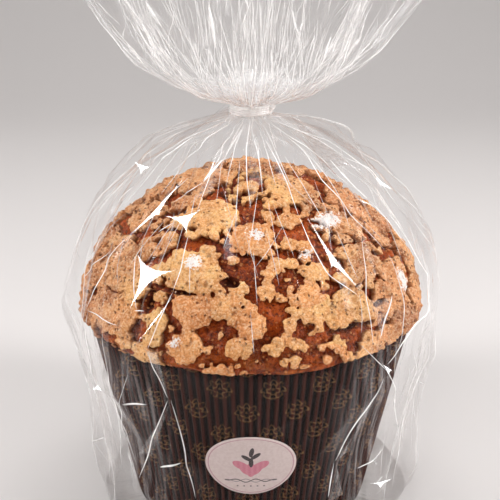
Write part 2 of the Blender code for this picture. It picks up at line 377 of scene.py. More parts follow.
# %% Lights
def softbox(name, place, aim, width, height, power, on_film=None):
    """A rectangular light at a place, turned to what it lights: all, all but shine, or shine alone."""
    data = bpy.data.lights.new(name, "AREA")
    data.shape = "RECTANGLE"
    data.size, data.size_y = width, height
    data.energy = power
    lamp = bpy.data.objects.new(name, data)
    lamp.location = place
    lamp.rotation_euler = (Vector(aim) - Vector(place)).to_track_quat("-Z", "Y").to_euler()
    lamp.visible_glossy = on_film is not False
    lamp.visible_diffuse = on_film is not True
    scene.collection.objects.link(lamp)


LOAF_MIDDLE = (0, 0, 0.12)
KEY_PLACE = (-0.95, -0.30, 0.90)
FILL_PLACE = (0.98, -0.25, 0.62)
softbox("key", KEY_PLACE, LOAF_MIDDLE, 0.30, 0.55, 8.2, on_film=False)
softbox("key_strip", KEY_PLACE, LOAF_MIDDLE, 0.20, 0.55, 18.0, on_film=True)
softbox("fill", FILL_PLACE, LOAF_MIDDLE, 0.30, 0.60, 9.8, on_film=False)
softbox("fill_strip", FILL_PLACE, LOAF_MIDDLE, 0.20, 0.55, 16.0, on_film=True)
softbox("top", (0.05, 0.30, 1.15), (0, 0.02, 0.15), 0.7, 0.35, 5.0)
softbox("front", (-0.25, -1.35, 1.10), LOAF_MIDDLE, 1.2, 0.7, 6.9, on_film=False)

world = bpy.data.worlds.new("room")
world.use_nodes = True
room = world.node_tree.nodes["Background"].inputs
room["Color"].default_value = (0.95, 0.93, 0.93, 1)
room["Strength"].default_value = 0.11
scene.world = world
scene.view_settings.view_transform = "Standard"
scene.cycles.transparent_max_bounces = 48
scene.cycles.max_bounces = 8

# %% [markdown]
# ## The loaf: where the crust's plates lie
# The glaze is almonds, sugar and egg white. It dries before the dough stops rising, so it tears into plates
# with brown crust between. The largest plates are placed as on this loaf, the others are scattered
# by a fixed rule, and a few bare spots are kept free.

# %% Plates, fragments and bare spots
PLATE_COUNT = 100
PLATE_SPACING = 0.92
SMALLEST_PLATE = 0.005
LARGEST_PLATE = 0.011
FRAGMENT_COUNT = 420
FRAGMENT_SIZES = (0.0008, 0.0027)
# Each spot: turn and tilt in degrees, then half width and half height in metres
FRONT_PLATES = (
    (-25, 31, 0.0156, 0.0098), (-23, 51, 0.0172, 0.0107), (0, 38, 0.0115, 0.0098),
    (-40, 42, 0.0045, 0.0043), (-47, 47, 0.0085, 0.0056), (11, 47, 0.0080, 0.0043),
    (27, 51, 0.0062, 0.0048), (20, 58, 0.0068, 0.0062), (21, 65, 0.0094, 0.0057),
    (5, 56, 0.0049, 0.0062), (-9, 61, 0.0090, 0.0067), (0, 65, 0.0071, 0.0070),
    (-19, 63, 0.0106, 0.0084), (-20, 75, 0.0090, 0.0074), (-49, 72, 0.0165, 0.0100),
    (-31, 72, 0.0060, 0.0090), (35, 64, 0.0108, 0.0082), (54, 38, 0.0140, 0.0110),
    (61, 64, 0.0150, 0.0102), (-71, 15, 0.0110, 0.0165), (45, 19, 0.0130, 0.0120),
    (55, 78, 0.0113, 0.0085), (46, 54, 0.0150, 0.0094), (22, 32, 0.0064, 0.0049),
    (17, 41, 0.0067, 0.0040), (-61, 56, 0.0150, 0.0115), (-71, 39, 0.0140, 0.0085),
    (-47, 60, 0.0110, 0.0082),
)
BARE_SPOTS = (
    (8, 27, 0.0095, 0.0075), (-5, 47, 0.0090, 0.0075), (10, 82, 0.0240, 0.0085), (-15, 20, 0.0090, 0.0045),
    (11, 60, 0.0032, 0.0042), (21, 46, 0.0045, 0.0025), (38, 45, 0.0045, 0.0022), (-44, 44, 0.0045, 0.0030),
    (150, 58, 0.0120, 0.0060), (-140, 40, 0.0080, 0.0070), (110, 74, 0.0140, 0.0045),
    (-100, 70, 0.0090, 0.0050),
)
CRACKS = (
    (-15, 20, 0.0130, 0.0020), (34, 72, 0.0140, 0.0018), (-37, 64, 0.0022, 0.0050), (-8, 53, 0.0045, 0.0022),
    (48, 67, 0.0055, 0.0016), (-27, 58, 0.0120, 0.0012), (130, 50, 0.0120, 0.0018),
    (-125, 62, 0.0150, 0.0018),
)
SUGAR_SPOTS = (
    (-23, 48, 0.0040, 0.0035), (3, 37, 0.0032, 0.0034), (46, 36, 0.0100, 0.0045), (64, 65, 0.0050, 0.0060),
    (-23, 74, 0.0026, 0.0022), (24, 45, 0.0030, 0.0026), (120, 45, 0.0050, 0.0040),
    (-110, 50, 0.0045, 0.0040), (170, 30, 0.0045, 0.0045), (-160, 66, 0.0040, 0.0035),
)


def dome_outline(tilt):
    """The smooth dome's radius and height at a tilt: 0 is its top and a quarter turn its widest ring."""
    power = 2 / DOME_POWER
    radius = DOME_RADIUS * np.sin(tilt) ** power
    return radius, DOME_MIDDLE + (DOME_TOP - DOME_MIDDLE) * np.clip(np.cos(tilt), 0, 1) ** power


def dome_point(turn, tilt):
    radius, height = dome_outline(tilt)
    return Vector(around(radius, turn, height))


def placed(spots):
    """Spots given by turn and tilt as (middle, half width, half height)."""
    return [(dome_point(math.radians(turn), math.radians(tilt)), width, height)
            for turn, tilt, width, height in spots]


def crust_plates():
    """The plates as (middle, half width, half height), by the same rule as the solid's."""
    plates = placed(FRONT_PLATES)
    draw = random.Random(7)
    most_tries = 4000
    for _ in range(most_tries):
        if len(plates) == PLATE_COUNT:
            break
        turn = draw.uniform(0, 2 * math.pi)
        tilt = math.acos(draw.uniform(0.0, 1.0))
        size = draw.uniform(SMALLEST_PLATE, LARGEST_PLATE)
        middle = dome_point(turn, tilt)
        if all((middle - other).length > PLATE_SPACING * (size + (width + height) / 2)
               for other, width, height in plates):
            plates.append((middle, size * draw.uniform(0.95, 1.25), size))
    return plates


def crust_fragments():
    """Small broken bits of glaze, anywhere on the dome."""
    draw = random.Random(31)
    bits = []
    for number in range(FRAGMENT_COUNT):
        # Two in three lie on the front, where the crust tore open most
        reach = math.pi if number % 3 == 0 else math.radians(58)
        turn, tilt = draw.uniform(-reach, reach), math.acos(draw.uniform(0.04, 1.0))
        size = draw.uniform(*FRAGMENT_SIZES)
        bits.append((dome_point(turn, tilt), size * draw.uniform(0.9, 1.5), size))
    return bits


def inside(points, outward, spots):
    """How deep inside the nearest spot each point lies, in metres, and that spot's number."""
    farthest_outside = -0.008
    across = np.stack((-outward[:, 1], outward[:, 0], np.zeros(len(points))), axis=1)
    length = np.linalg.norm(across, axis=1, keepdims=True)
    across = np.where(length > 1e-6, across / np.maximum(length, 1e-6), (1.0, 0.0, 0.0))
    down = np.cross(outward, across)
    best = np.full(len(points), -1.0)
    owner = np.zeros(len(points), int)
    for number, (middle, width, height) in enumerate(spots):
        apart = points - np.array(middle)
        near = np.nonzero((apart ** 2).sum(axis=1) < (3 * max(width, height)) ** 2)[0]
        side = (apart[near] * across[near]).sum(axis=1) / width
        rise = (apart[near] * down[near]).sum(axis=1) / height
        depth = (1 - np.hypot(side, rise)) * min(width, height)
        better = depth > best[near]
        best[near[better]] = depth[better]
        owner[near[better]] = number
    return np.maximum(best, farthest_outside), owner


plates = crust_plates()
fragments = crust_fragments()
print(len(plates), "plates and", len(fragments), "fragments")

# %% [markdown]
# ## The loaf: a dome with no pole
# A square grid is bent onto a disc and the disc onto the dome. Its cells stay much the same size, so crumbs
# are as sharp at the top as at the rim. The last rows curl under into a ragged lip that hangs over the paper.

# %% The dome's surface and fields
LIP_START = 0.935
LIP_HANG = 0.0020
LIP_RAGGED = 0.0022
LIP_LONGEST = 0.0045
DOME_EDGE = 0.1119
# How the lip goes out and down, from its start to its end
LIP_PLACES = (0, 0.35, 0.7, 1)
LIP_OUT = (0, 0.0004, -0.0002, -0.0022)
LIP_DOWN = (0, 0.55, 1.0, 0.8)
DOME_EDGE_TILT = math.acos(((DOME_EDGE - DOME_MIDDLE) / (DOME_TOP - DOME_MIDDLE)) ** (DOME_POWER / 2))


def disc_grid(count):
    """A square grid of count cells a side bent onto a disc of radius 1, and its square faces."""
    line = np.linspace(-1, 1, count + 1)
    u, v = (a.ravel() for a in np.meshgrid(line, line))
    wide = np.abs(u) > np.abs(v)
    safe_u = np.where(np.abs(u) < 1e-12, 1e-12, u)
    safe_v = np.where(np.abs(v) < 1e-12, 1e-12, v)
    angle = np.where(wide, math.pi / 4 * v / safe_u, math.pi / 2 - math.pi / 4 * u / safe_v)
    reach = np.where(wide, u, v)
    corner = (np.arange(count)[:, None] * (count + 1) + np.arange(count)).ravel()
    faces = np.stack((corner, corner + 1, corner + count + 2, corner + count + 1), axis=1)
    return reach * np.cos(angle), reach * np.sin(angle), faces


def dome_surface(count):
    """The loaf above the case, smooth: its points, the way outward at each, the faces and the lip's share."""
    x, y, faces = disc_grid(count)
    share = np.hypot(x, y)
    turn = np.arctan2(x, -y)
    radius, height = dome_outline(DOME_EDGE_TILT * np.clip(share / LIP_START, 0, 1))
    lip = np.clip((share - LIP_START) / (1 - LIP_START), 0, 1)
    rim = 0.086 * np.stack((np.sin(turn), np.cos(turn), np.zeros(len(turn))), axis=1)
    hang = LIP_HANG + LIP_RAGGED * fractal(rim, 0.016, 3, 71)
    low = DOME_EDGE - CASE_HEIGHT + np.clip(hang, 0.0, LIP_LONGEST)
    radius += np.interp(lip, LIP_PLACES, LIP_OUT)
    height -= low * np.interp(lip, LIP_PLACES, LIP_DOWN)
    points = around(radius, turn, height)
    return points, unit(points - np.array((0, 0, DOME_MIDDLE))), faces, lip


# Layers of noise on the crust: height, size, octaves and seed
PLATE_EDGE_NOISE = ((0.0024, 0.0075, 3, 3), (0.0017, 0.0032, 2, 11), (0.0011, 0.0017, 1, 13))
SEAM_NOISE = ((1.0, 0.0105, 1, 45), (0.25, 0.0040, 1, 46))
SIDE_GLAZE_GAIN = 0.0030
SEAM_DEPTH = 0.0060
LUMP_HEIGHT = 0.0012
LUMP_WIDTH = 0.013


def crust_fields(points, outward):
    """How deep each point lies in glaze, a crack and sugar, in metres, which plate it is on, the lumps, and
    how far the glaze is one sheet there."""
    ragged = layered(points, PLATE_EDGE_NOISE)
    glaze, owner = inside(points, outward, plates)
    bits, _ = inside(points, outward, fragments)
    # At the sides and the back the glaze is one crumbly sheet with small holes and seams
    turn = np.degrees(turn_of(points))
    sheet = smoothstep(34, 52, np.abs(turn + 4) + 8 * noise(points, 0.02, 42))
    holes = noise(points, 0.0026, 43) - 0.38
    glaze = np.maximum(glaze - 0.0005, bits + 0.0004)
    glaze += sheet * SIDE_GLAZE_GAIN - (0.3 + 0.7 * sheet) * 0.004 * np.clip(holes, 0, 1)
    seams = smoothstep(0.17, 0.04, np.abs(layered(points, SEAM_NOISE)))
    glaze += ragged - SEAM_DEPTH * sheet * seams
    bare, _ = inside(points, outward, placed(BARE_SPOTS))
    crack, _ = inside(points, outward, placed(CRACKS))
    crack = crack + 0.30 * ragged
    glaze = np.minimum(glaze, np.maximum(0.0004 - (bare + 0.6 * ragged) * 1.5, bits * 0.8))
    glaze = np.minimum(glaze, 0.0006 - 3 * crack)
    sugar, _ = inside(points, outward, placed(SUGAR_SPOTS))
    x, y, z = points.T / LUMP_WIDTH
    lump = LUMP_HEIGHT * np.sin(x + 0.7) * np.sin(0.9 * y + 1.9) * np.cos(1.1 * z)
    return glaze, crack, sugar, owner, lump, sheet


print(f"the dome's edge lies {math.degrees(DOME_EDGE_TILT):.0f} degrees from its top")

# %% [markdown]
# ## The loaf: the brown skin
# Between the plates shows the loaf's own skin: red-brown, a little glossy with sugar, and torn sideways low
# on the front where the dough burst over the rim. It is one closed surface down to the case's floor.

# %% The skin
SKIN_CELLS = 300
SKIN_BELOW_DOME = 0.0008
SKIN_NOISE = ((0.00130, 0.0055, 3, 21), (0.00110, 0.0019, 2, 25))
CRACK_DEPTH = 0.0030
TORN_HEIGHT = 0.0014
CASE_FLOOR = 0.0015
# Where the loaf stands inside the case: the rings' radii and heights
LOAF_IN_CASE = ((RIM_RADIUS - 0.0032, 0.104), (BASE_RADIUS - 0.0030, CASE_FLOOR))


def skin_relief(points, lump, glaze, crack):
    """How far the skin stands out from the smooth dome, and how torn it is."""
    low = 1 - smoothstep(0.113, 0.128, points[:, 2])
    torn = fractal(points * np.array((1, 1, 3.4)), 0.0075, 3, 31)
    relief = lump - SKIN_BELOW_DOME + layered(points, SKIN_NOISE) + TORN_HEIGHT * low * torn
    relief -= CRACK_DEPTH * smoothstep(-0.0004, 0.0016, crack)
    relief -= 0.0006 * smoothstep(-0.0030, -0.0002, glaze)
    return relief, low * smoothstep(-0.2, 0.7, torn)


def make_skin():
    points, outward, faces, lip = dome_surface(SKIN_CELLS)
    glaze, crack, _, _, lump, _ = crust_fields(points, outward)
    relief, torn = skin_relief(points, lump, glaze, crack)
    points = points + outward * (relief * (1 - lip))[:, None]
    # The edge of the grid goes on down inside the case to its floor, and is closed there
    on_dome = len(points)
    edge = grid_edge(SKIN_CELLS + 1)
    turn = turn_of(points[edge])
    rings = [edge]
    for radius, height in LOAF_IN_CASE:
        rings.append(np.arange(len(edge)) + len(points))
        points = np.vstack((points, around(radius, turn, height)))
    points = np.vstack((points, (0, 0, CASE_FLOOR)))
    quads = [faces]
    for upper, lower in zip(rings, rings[1:]):
        quads.append(np.stack((upper, lower, np.roll(lower, -1), np.roll(upper, -1)), axis=1))
    last = rings[-1]
    middle = np.full(len(last) // 2, len(points) - 1)
    quads.append(np.stack((last[0::2], middle, np.roll(last, -2)[0::2], last[1::2]), axis=1))
    skin = mesh_object("bread_skin", points, np.vstack(quads))
    for name, values, rest in (("glaze", glaze * 1000, -5), ("crack", crack * 1000, -5), ("torn", torn, 0)):
        give_values(skin, name, np.concatenate((values, np.full(len(points) - on_dome, rest))))
    return skin


skin = make_skin()
print("skin:", len(skin.data.polygons), "faces")

# %% [markdown]
# ## The loaf: the cracked glaze
# The plates are cut out of a second, finer grid wherever the glaze field is above zero. Points on a plate's
# edge slide onto the zero line, so that edges are ragged but not stepped. Each edge then turns down and
# under the plate, which gives it a real thickness and a dark line of shadow, deepened by painted shade
# on that wall.

# %% The glaze
GLAZE_CELLS = 364
PLATE_TOP = 0.0021
PLATE_LIFTS = (-0.0004, 0.0012)
UNDERCUT = 0.0010
# The glaze ends part of the way down the lip
LAST_LIP = 0.62
# An edge point slides by this much of a cell at most
MOST_SLIDE = 0.62
TOP_NOISE = ((0.00160, 0.0085, 3, 61),)
TOP_CRUMBS = ((0.00095, 0.0033, 1, 62), (0.00060, 0.0018, 1, 67))


def marked(count, chosen):
    """True for each point that some chosen face has."""
    mask = np.zeros(count, bool)
    mask[chosen] = True
    return mask


def make_glaze():
    points, outward, faces, lip = dome_surface(GLAZE_CELLS)
    glaze, crack, sugar, owner, lump, sheet = crust_fields(points, outward)
    side = GLAZE_CELLS + 1
    grid = glaze.reshape(side, side)
    slope = np.stack(np.gradient(grid), axis=-1).reshape(-1, 2)
    spread = points.reshape(side, side, 3)
    steps = np.stack(np.gradient(spread, axis=(0, 1)), axis=-1).reshape(-1, 3, 2)
    kept = (glaze[faces].mean(axis=1) > 0) & (lip[faces].max(axis=1) < LAST_LIP)
    edge = marked(len(points), faces[kept]) & marked(len(points), faces[~kept])
    # Slide the plates' edges onto the zero line
    move = -glaze[:, None] * slope / np.maximum((slope ** 2).sum(axis=1, keepdims=True), 1e-12)
    size = np.linalg.norm(move, axis=1, keepdims=True)
    move *= np.minimum(1.0, MOST_SLIDE / np.maximum(size, 1e-9))
    slid = points + np.einsum("nij,nj->ni", steps, move * edge[:, None])
    inward = unit(np.einsum("nij,nj->ni", steps, slope))
    # Each plate lies a little higher or lower than its neighbours, with a grainy top
    draw = np.random.default_rng(5)
    lifts = draw.uniform(*PLATE_LIFTS, len(plates))
    tones = draw.uniform(0, 1, len(plates))
    grain = layered(points, TOP_NOISE) + (0.6 + 0.8 * sheet) * layered(points, TOP_CRUMBS)
    pits = smoothstep(0.50, 0.80, noise(points, 0.0016, 68)) * smoothstep(0.0002, 0.0012, glaze)
    rounding = smoothstep(0, 0.0013, glaze) + 0.9 * smoothstep(0.0005, 0.0060, glaze) - 0.4
    top = lump + PLATE_TOP + lifts[owner] * (1 - sheet * 0.5) + grain - 0.0006 * (1 - rounding + pits)
    relief, _ = skin_relief(points, lump, glaze, crack)
    fade = 1 - lip
    tops = slid + outward * (top * (0.35 + 0.65 * fade))[:, None]
    unders = slid + inward * UNDERCUT + outward * ((relief - 0.0005) * fade)[:, None]
    # Edges that belong to one kept face alone get the wall that turns under
    quads = faces[kept]
    pairs = np.concatenate([quads[:, (k, (k + 1) % 4)] for k in range(4)])
    keys = np.sort(pairs, axis=1)
    _, first, count = np.unique(keys[:, 0] * len(points) + keys[:, 1], return_index=True, return_counts=True)
    rim = pairs[first[count == 1]]
    walls = np.stack((rim[:, 1], rim[:, 0], rim[:, 0] + len(points), rim[:, 1] + len(points)), axis=1)
    everything = np.vstack((quads, walls))
    wanted, numbers = np.unique(everything, return_inverse=True)
    glaze_sheet = mesh_object("bread_glaze", np.vstack((tops, unders))[wanted], numbers.reshape(-1, 4))
    under = np.concatenate((np.zeros(len(points)), np.ones(len(points))))
    doubled = {"glaze": glaze * 1000, "sugar": sugar * 1000, "tone": tones[owner], "pits": pits}
    for name, values in {**doubled, "sheet": sheet}.items():
        give_values(glaze_sheet, name, np.concatenate((values, values))[wanted])
    give_values(glaze_sheet, "under", under[wanted])
    return glaze_sheet


glaze = make_glaze()
print("glaze:", len(glaze.data.polygons), "faces")

# %% [markdown]
# ## The loaf: its materials
# Baked dough is red-brown and glossy where sugar ran over it. Next to the plates it is darker, partly with
# painted shade, and in the cracks it is painted nearly black as shade. The glaze is a pale golden tan,
# browner at its edges, and dark in its pits, partly with painted shade. Its colours are paler than they seem,
# because the brown between the plates makes them look warmer.

# %% Crust materials
def grains(paint, place, scale):
    """Rounded grains: how far from a grain's middle, and a random number for each grain."""
    far = paint.node("ShaderNodeTexVoronoi", {"feature": "F1"}, Vector=place, Scale=scale, output="Distance")
    return far, paint.node("ShaderNodeSeparateColor", None, Value(paint, far.socket.node.outputs["Color"]))


def skin_material():
    paint = Paint("baked_skin")
    place = paint.place()
    broad = paint.noise(place, 70.0, 3.0)
    fine = paint.noise(place, 600.0, 4.0, 0.7)
    far, shade = grains(paint, place, 700.0)
    torn = paint.attribute("torn")
    near = paint.attribute("glaze").step(-1.6, 0.2)
    crack = paint.attribute("crack").step(-0.5, 1.0)
    tone = paint.mix(broad.step(0.40, 0.62), colour(130, 48, 10), colour(188, 82, 18))
    tone = paint.mix(fine.step(0.49, 0.62) * 0.35, tone, colour(214, 106, 34))
    tone = paint.mix(fine.step(0.49, 0.38) * 0.75, tone, colour(66, 20, 6))
    tone = paint.mix(torn * 0.5, tone, colour(206, 122, 56))
    # Next to the plates' edges the skin is darker: partly baked darker, partly painted contact shadow
    tone = paint.mix(near * 0.3, tone, colour(92, 34, 12))
    # Painted shade: the cracks are painted nearly black, on top of the shade of their real depth
    tone = paint.mix(crack * 0.85, tone, colour(48, 20, 10))
    tone = paint.mix(shade.step(0.86, 0.92) * far.step(0.60, 0.40) * 0.7, tone, colour(226, 152, 92))
    bump = paint.bump(fine + (1 - far) * 0.6, 1.0, 0.0012)
    return paint.finish(Base_Color=tone, Roughness=0.46 + fine * 0.2 + crack * 0.2, Specular_IOR_Level=0.22,
                        Coat_Weight=0.07 - crack * 0.07, Coat_Roughness=0.28, Normal=bump)


def glaze_material():
    paint = Paint("almond_glaze")
    place = paint.place()
    broad = paint.noise(place, 75.0, 3.0)
    patch = paint.noise(place, 48.0, 2.0)
    grain = paint.noise(place, 900.0, 4.0, 0.65)
    far, shade = grains(paint, place, 1250.0)
    sheet = paint.attribute("sheet")
    depth = paint.attribute("glaze")
    tone = paint.mix(paint.attribute("tone"), colour(240, 162, 98), colour(255, 200, 128))
    tone = paint.mix(broad.step(0.42, 0.60) * 0.5, tone, colour(222, 138, 76))
    tone = paint.mix(sheet * 0.55, tone, colour(212, 146, 104))
    tone = paint.mix(patch.step(0.49, 0.60) * (0.2 + sheet * 0.5), tone, colour(158, 90, 52))
    tone = paint.mix(grain.step(0.50, 0.62) * 0.45, tone, colour(255, 222, 178))
    tone = paint.mix(grain.step(0.47, 0.37) * 0.40, tone, colour(176, 98, 50))
    tone = paint.mix(shade.step(0.60, 1.0) * 0.30, tone, colour(255, 232, 200))
    tone = paint.mix(shade.step(0.40, 0.0) * 0.35, tone, colour(184, 108, 58))
    tone = paint.mix(depth.step(0.50, -0.1) * 0.45, tone, colour(184, 104, 50))
    hole, rare = grains(paint, place, 460.0)
    pits = (hole + (grain - 0.5) * 0.9).step(0.34, 0.20)
    pits = pits * (rare + sheet * 0.30 + (patch - 0.5) * 1.2).step(0.74, 0.80)
    pits = pits.maths("MAXIMUM", paint.attribute("pits") * 0.6)
    # The pits are painted dark brown: partly the darker crust in the holes, partly painted shade
    tone = paint.mix(pits * 0.75, tone, colour(104, 48, 20))
    sugar = (paint.attribute("sugar") * 0.60 + (grain - 0.5) * 6.0 + (shade - 0.5) * 1.8).step(-0.1, 0.7)
    sugar = sugar * paint.attribute("sugar").step(-2.0, 1.0)
    tone = paint.mix(sugar * 0.95, tone, colour(255, 248, 244))
    # Painted shade: the wall that turns under each plate is painted dark brown, for the shadow under its edge
    tone = paint.mix(paint.attribute("under") * 0.75, tone, colour(92, 40, 14))
    height = grain * 0.7 + (1 - far) * 0.35 - pits * 0.9
    return paint.finish(Base_Color=tone, Roughness=0.74 - sugar * 0.3, Specular_IOR_Level=0.25,
                        Normal=paint.bump(height, 0.9, 0.0008))


skin.data.materials.append(skin_material())
glaze.data.materials.append(glaze_material())
for piece in (skin, glaze):
    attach(piece, "root")
    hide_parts("bread")
print("crust materials:", [m.name for piece in (skin, glaze) for m in piece.data.materials])

# %% [markdown]
# ## The paper case
# A strip of paper is pleated by a toothed roller, bent into a tapering cup and glued to a round base, so one
# rule makes all of it: a flute is a wave in the radius that runs straight up the side. Geometry Nodes bend a
# flat grid by that rule. The grid's rows go up the outside, over the rim and down the inside.

# %% Geometry Nodes helper
class Tree(Network):
    """A Geometry Nodes tree with named inputs, run once on an object when it is built."""

    def __init__(self, name):
        self.group = bpy.data.node_groups.new(name, "GeometryNodeTree")
        super().__init__(self.group)
        for direction in ("INPUT", "OUTPUT"):
            self.group.interface.new_socket("Geometry", in_out=direction, socket_type="NodeSocketGeometry")
        self.entry = self.nodes.new("NodeGroupInput")
        self.exit = self.nodes.new("NodeGroupOutput")
        self.given = {}

    def number(self, name, value):
        """A named input and the number it is given."""
        kind = "NodeSocketInt" if isinstance(value, int) else "NodeSocketFloat"
        socket = self.group.interface.new_socket(name, in_out="INPUT", socket_type=kind)
        self.given[socket.identifier] = value
        return Value(self, self.entry.outputs[name])

    def stored(self, name, kind):
        """An attribute that the start mesh has."""
        return self.node("GeometryNodeInputNamedAttribute", {"data_type": kind}, name)

    def moved_to(self, geometry, *place):
        """Geometry with each point moved to a place given by its three parts."""
        spot = self.node("ShaderNodeCombineXYZ", None, *place)
        return self.node("GeometryNodeSetPosition", None, geometry, Position=spot)

    def joined(self, *pieces):
        """Several geometries as one."""
        made = self.nodes.new("GeometryNodeJoinGeometry")
        for piece in reversed(pieces):
            self.links.new(piece.socket, made.inputs[0])
        return Value(self, made.outputs[0])

    def build(self, name, geometry, material, start=None):
        """Runs the tree once, on a start mesh if there is one, and returns its mesh as a plain object."""
        smooth = self.node("GeometryNodeSetShadeSmooth", None, geometry)
        real = self.node("GeometryNodeRealizeInstances", None, smooth)
        painted = self.node("GeometryNodeSetMaterial", None, real, Material=material)
        self.links.new(painted.socket, self.exit.inputs[0])
        host = start or mesh_object(name + "_host", [], [])
        modifier = host.modifiers.new("nodes", "NODES")
        modifier.node_group = self.group
        for identifier, value in self.given.items():
            modifier[identifier] = value
        host.update_tag()
        ready = host.evaluated_get(bpy.context.evaluated_depsgraph_get())
        mesh = bpy.data.meshes.new_from_object(ready)
        mesh.name = name
        bpy.data.objects.remove(host)
        obj = bpy.data.objects.new(name, mesh)
        scene.collection.objects.link(obj)
        return obj


# %% The case's paper
ROSETTE_COLUMNS = 21
ROSETTE_SHIFT = 27.1 / (360 / ROSETTE_COLUMNS) + 0.5
ROSETTE_COLUMN_WIDTH = 0.0240
ROSETTE_ROW = 0.01357
ROSETTE_FIRST = 0.0128
RING_RADIUS = 0.0041
RING_LOBE = 0.0014
FLOWER_RADIUS = 0.0017
FLOWER_LOBE = 0.0013
PAPER_THICKNESS = 0.0006


def lobed_line(reach, angle, lobes, radius, lobe, width, blur):
    """A line round a flower: a circle that bulges out in a number of lobes."""
    bulge = (angle * (lobes / 2)).maths("COSINE").maths("ABSOLUTE") * lobe
    return (reach - radius - bulge).maths("ABSOLUTE").step(width, blur)


def case_material():
    """Brown paper with dim gold rosettes: an eight-lobed ring round a small flower, in staggered rows."""
    paint = Paint("printed_case_paper")
    place = paint.place()
    x, y, z = paint.parts(place)
    turn = x.maths("ARCTAN2", y * -1.0)
    column = turn * (ROSETTE_COLUMNS / (2 * math.pi)) + ROSETTE_SHIFT
    row = (CASE_HEIGHT - ROSETTE_FIRST - z) / ROSETTE_ROW + 0.5
    odd = row.maths("FLOOR").maths("FLOORED_MODULO", 2.0) * 0.5
    across = ((column + odd).maths("FRACT") - 0.5) * ROSETTE_COLUMN_WIDTH
    rise = (row.maths("FRACT") - 0.5) * ROSETTE_ROW
    reach = (across * across + rise * rise).maths("SQRT")
    angle = rise.maths("ARCTAN2", across)
    ring = lobed_line(reach, angle, 8, RING_RADIUS, RING_LOBE, 0.00060, 0.00030)
    petals = lobed_line(reach, angle, 4, FLOWER_RADIUS, FLOWER_LOBE, 0.00055, 0.00026)
    dots = (reach - 0.0033).maths("ABSOLUTE").step(0.0006, 0.0003)
    dots = dots * ((angle * 8.0).maths("COSINE") * -1.0).step(0.5, 0.8)
    heart = reach.step(0.0009, 0.0006)
    print_worn = paint.noise(place, 900.0, 3.0).step(0.34, 0.56)
    gold = (ring + petals + dots + heart).clamped() * print_worn
    # Painted light and shade on the flutes: ridges painted lighter as sheen, grooves painted nearly black as
    # shade, and the gold print brighter on the ridges
    flute_sheen_and_shade = (turn * float(FLUTES)).maths("COSINE") * 0.5 + 0.5
    fibre = paint.noise(place, 260.0, 4.0, 0.7)
    tone = paint.mix(flute_sheen_and_shade.step(0.25, 0.95), colour(5, 1, 0), colour(66, 29, 20))
    tone = paint.mix(fibre.step(0.46, 0.70) * 0.08, tone, colour(84, 46, 34))
    tone = paint.mix(gold * (0.36 + flute_sheen_and_shade * 0.40), tone, colour(148, 110, 70))
    rough = 0.50 + fibre * 0.2 - gold * 0.12
    return paint.finish(Base_Color=tone, Roughness=rough, Specular_IOR_Level=0.16,
                        Normal=paint.bump(fibre, 0.25, 0.0004))


print(f"{ROSETTE_COLUMNS} rosettes in a row, and {CASE_HEIGHT / ROSETTE_ROW:.1f} rows up the case")

# %% [markdown]
# The print above is a pattern of the turn and the height, so it follows the paper whatever its shape. The
# cup's inside is one paper's thickness further in, and two round sheets close its base.

# %% The case
POINTS_A_FLUTE = 8
CASE_ROWS = 31
# The flutes begin just above the base, and the rim is rolled out by a hair
FLUTES_START = 0.03
RIM_ROLL_START = 0.97
RIM_ROLL = 0.0002


def make_case():
    tree = Tree("pleated_case")
    flutes = tree.number("Flutes", FLUTES)
    depth = tree.number("Flute depth", FLUTE_DEPTH)
    height = tree.number("Height", CASE_HEIGHT)
    rim = tree.number("Rim radius", RIM_RADIUS)
    base = tree.number("Base radius", BASE_RADIUS)
    paper = tree.number("Paper", PAPER_THICKNESS)
    columns = FLUTES * POINTS_A_FLUTE + 1
    grid = tree.node("GeometryNodeMeshGrid", None, 1.0, 1.0, columns, CASE_ROWS)
    across, along_grid, _ = tree.parts(tree.node("GeometryNodeInputPosition"))
    turn = (across + 0.5) * (2 * math.pi)
    share = along_grid + 0.5
    # The outside goes up for the first half of the rows, and the inside comes down for the second
    rising = (share * 2).maths("MINIMUM", 1.0)
    falling = ((share - 0.5) * 2).maths("MAXIMUM", 0.0)
    up = rising - falling
    within = (share * 40 - 20).maths("MAXIMUM", 0.0).maths("MINIMUM", 1.0)
    wave = (turn * flutes).maths("COSINE") * 0.5 - 0.5
    radius = base + (rim - base) * up + wave * depth * up.step(0.0, FLUTES_START) - paper * within
    radius = radius + up.step(RIM_ROLL_START, 1.0) * RIM_ROLL
    wall = tree.moved_to(grid, radius * turn.maths("SINE"), radius * turn.maths("COSINE") * -1.0,
                         up * (height - paper) + paper * within)
    bottom = tree.node("GeometryNodeMeshCircle", {"fill_type": "TRIANGLE_FAN"}, columns - 1, base)
    inner = tree.node("GeometryNodeTransform", None, bottom, Translation=(0, 0, PAPER_THICKNESS))
    flipped = tree.node("GeometryNodeFlipFaces", None, bottom)
    whole = tree.joined(wall, flipped, inner)
    merged = tree.node("GeometryNodeMergeByDistance", None, whole, Distance=0.00002)
    case = tree.build("paper_case", merged, case_material())
    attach(case, "root")
    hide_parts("case")
    return case


case = make_case()
print("case:", len(case.data.polygons), "faces")

# %% [markdown]
# ## The oval label
# A sticker of satin paper, bent round the case. It has a pale pink ground and a thin ring just inside its
# edge, with a plain blossom and a flourish below it.

# %% The label
LABEL_WIDTH = 0.044
LABEL_HEIGHT = 0.0376
LABEL_MIDDLE = 0.0514
LABEL_CLEAR = 0.0003
LABEL_THICKNESS = 0.0004
LABEL_CELLS = 44
SLOPE = (RIM_RADIUS - BASE_RADIUS) / CASE_HEIGHT
LABEL_LEAN = math.cos(math.atan(SLOPE))
CASE_AT_LABEL = BASE_RADIUS + SLOPE * LABEL_MIDDLE
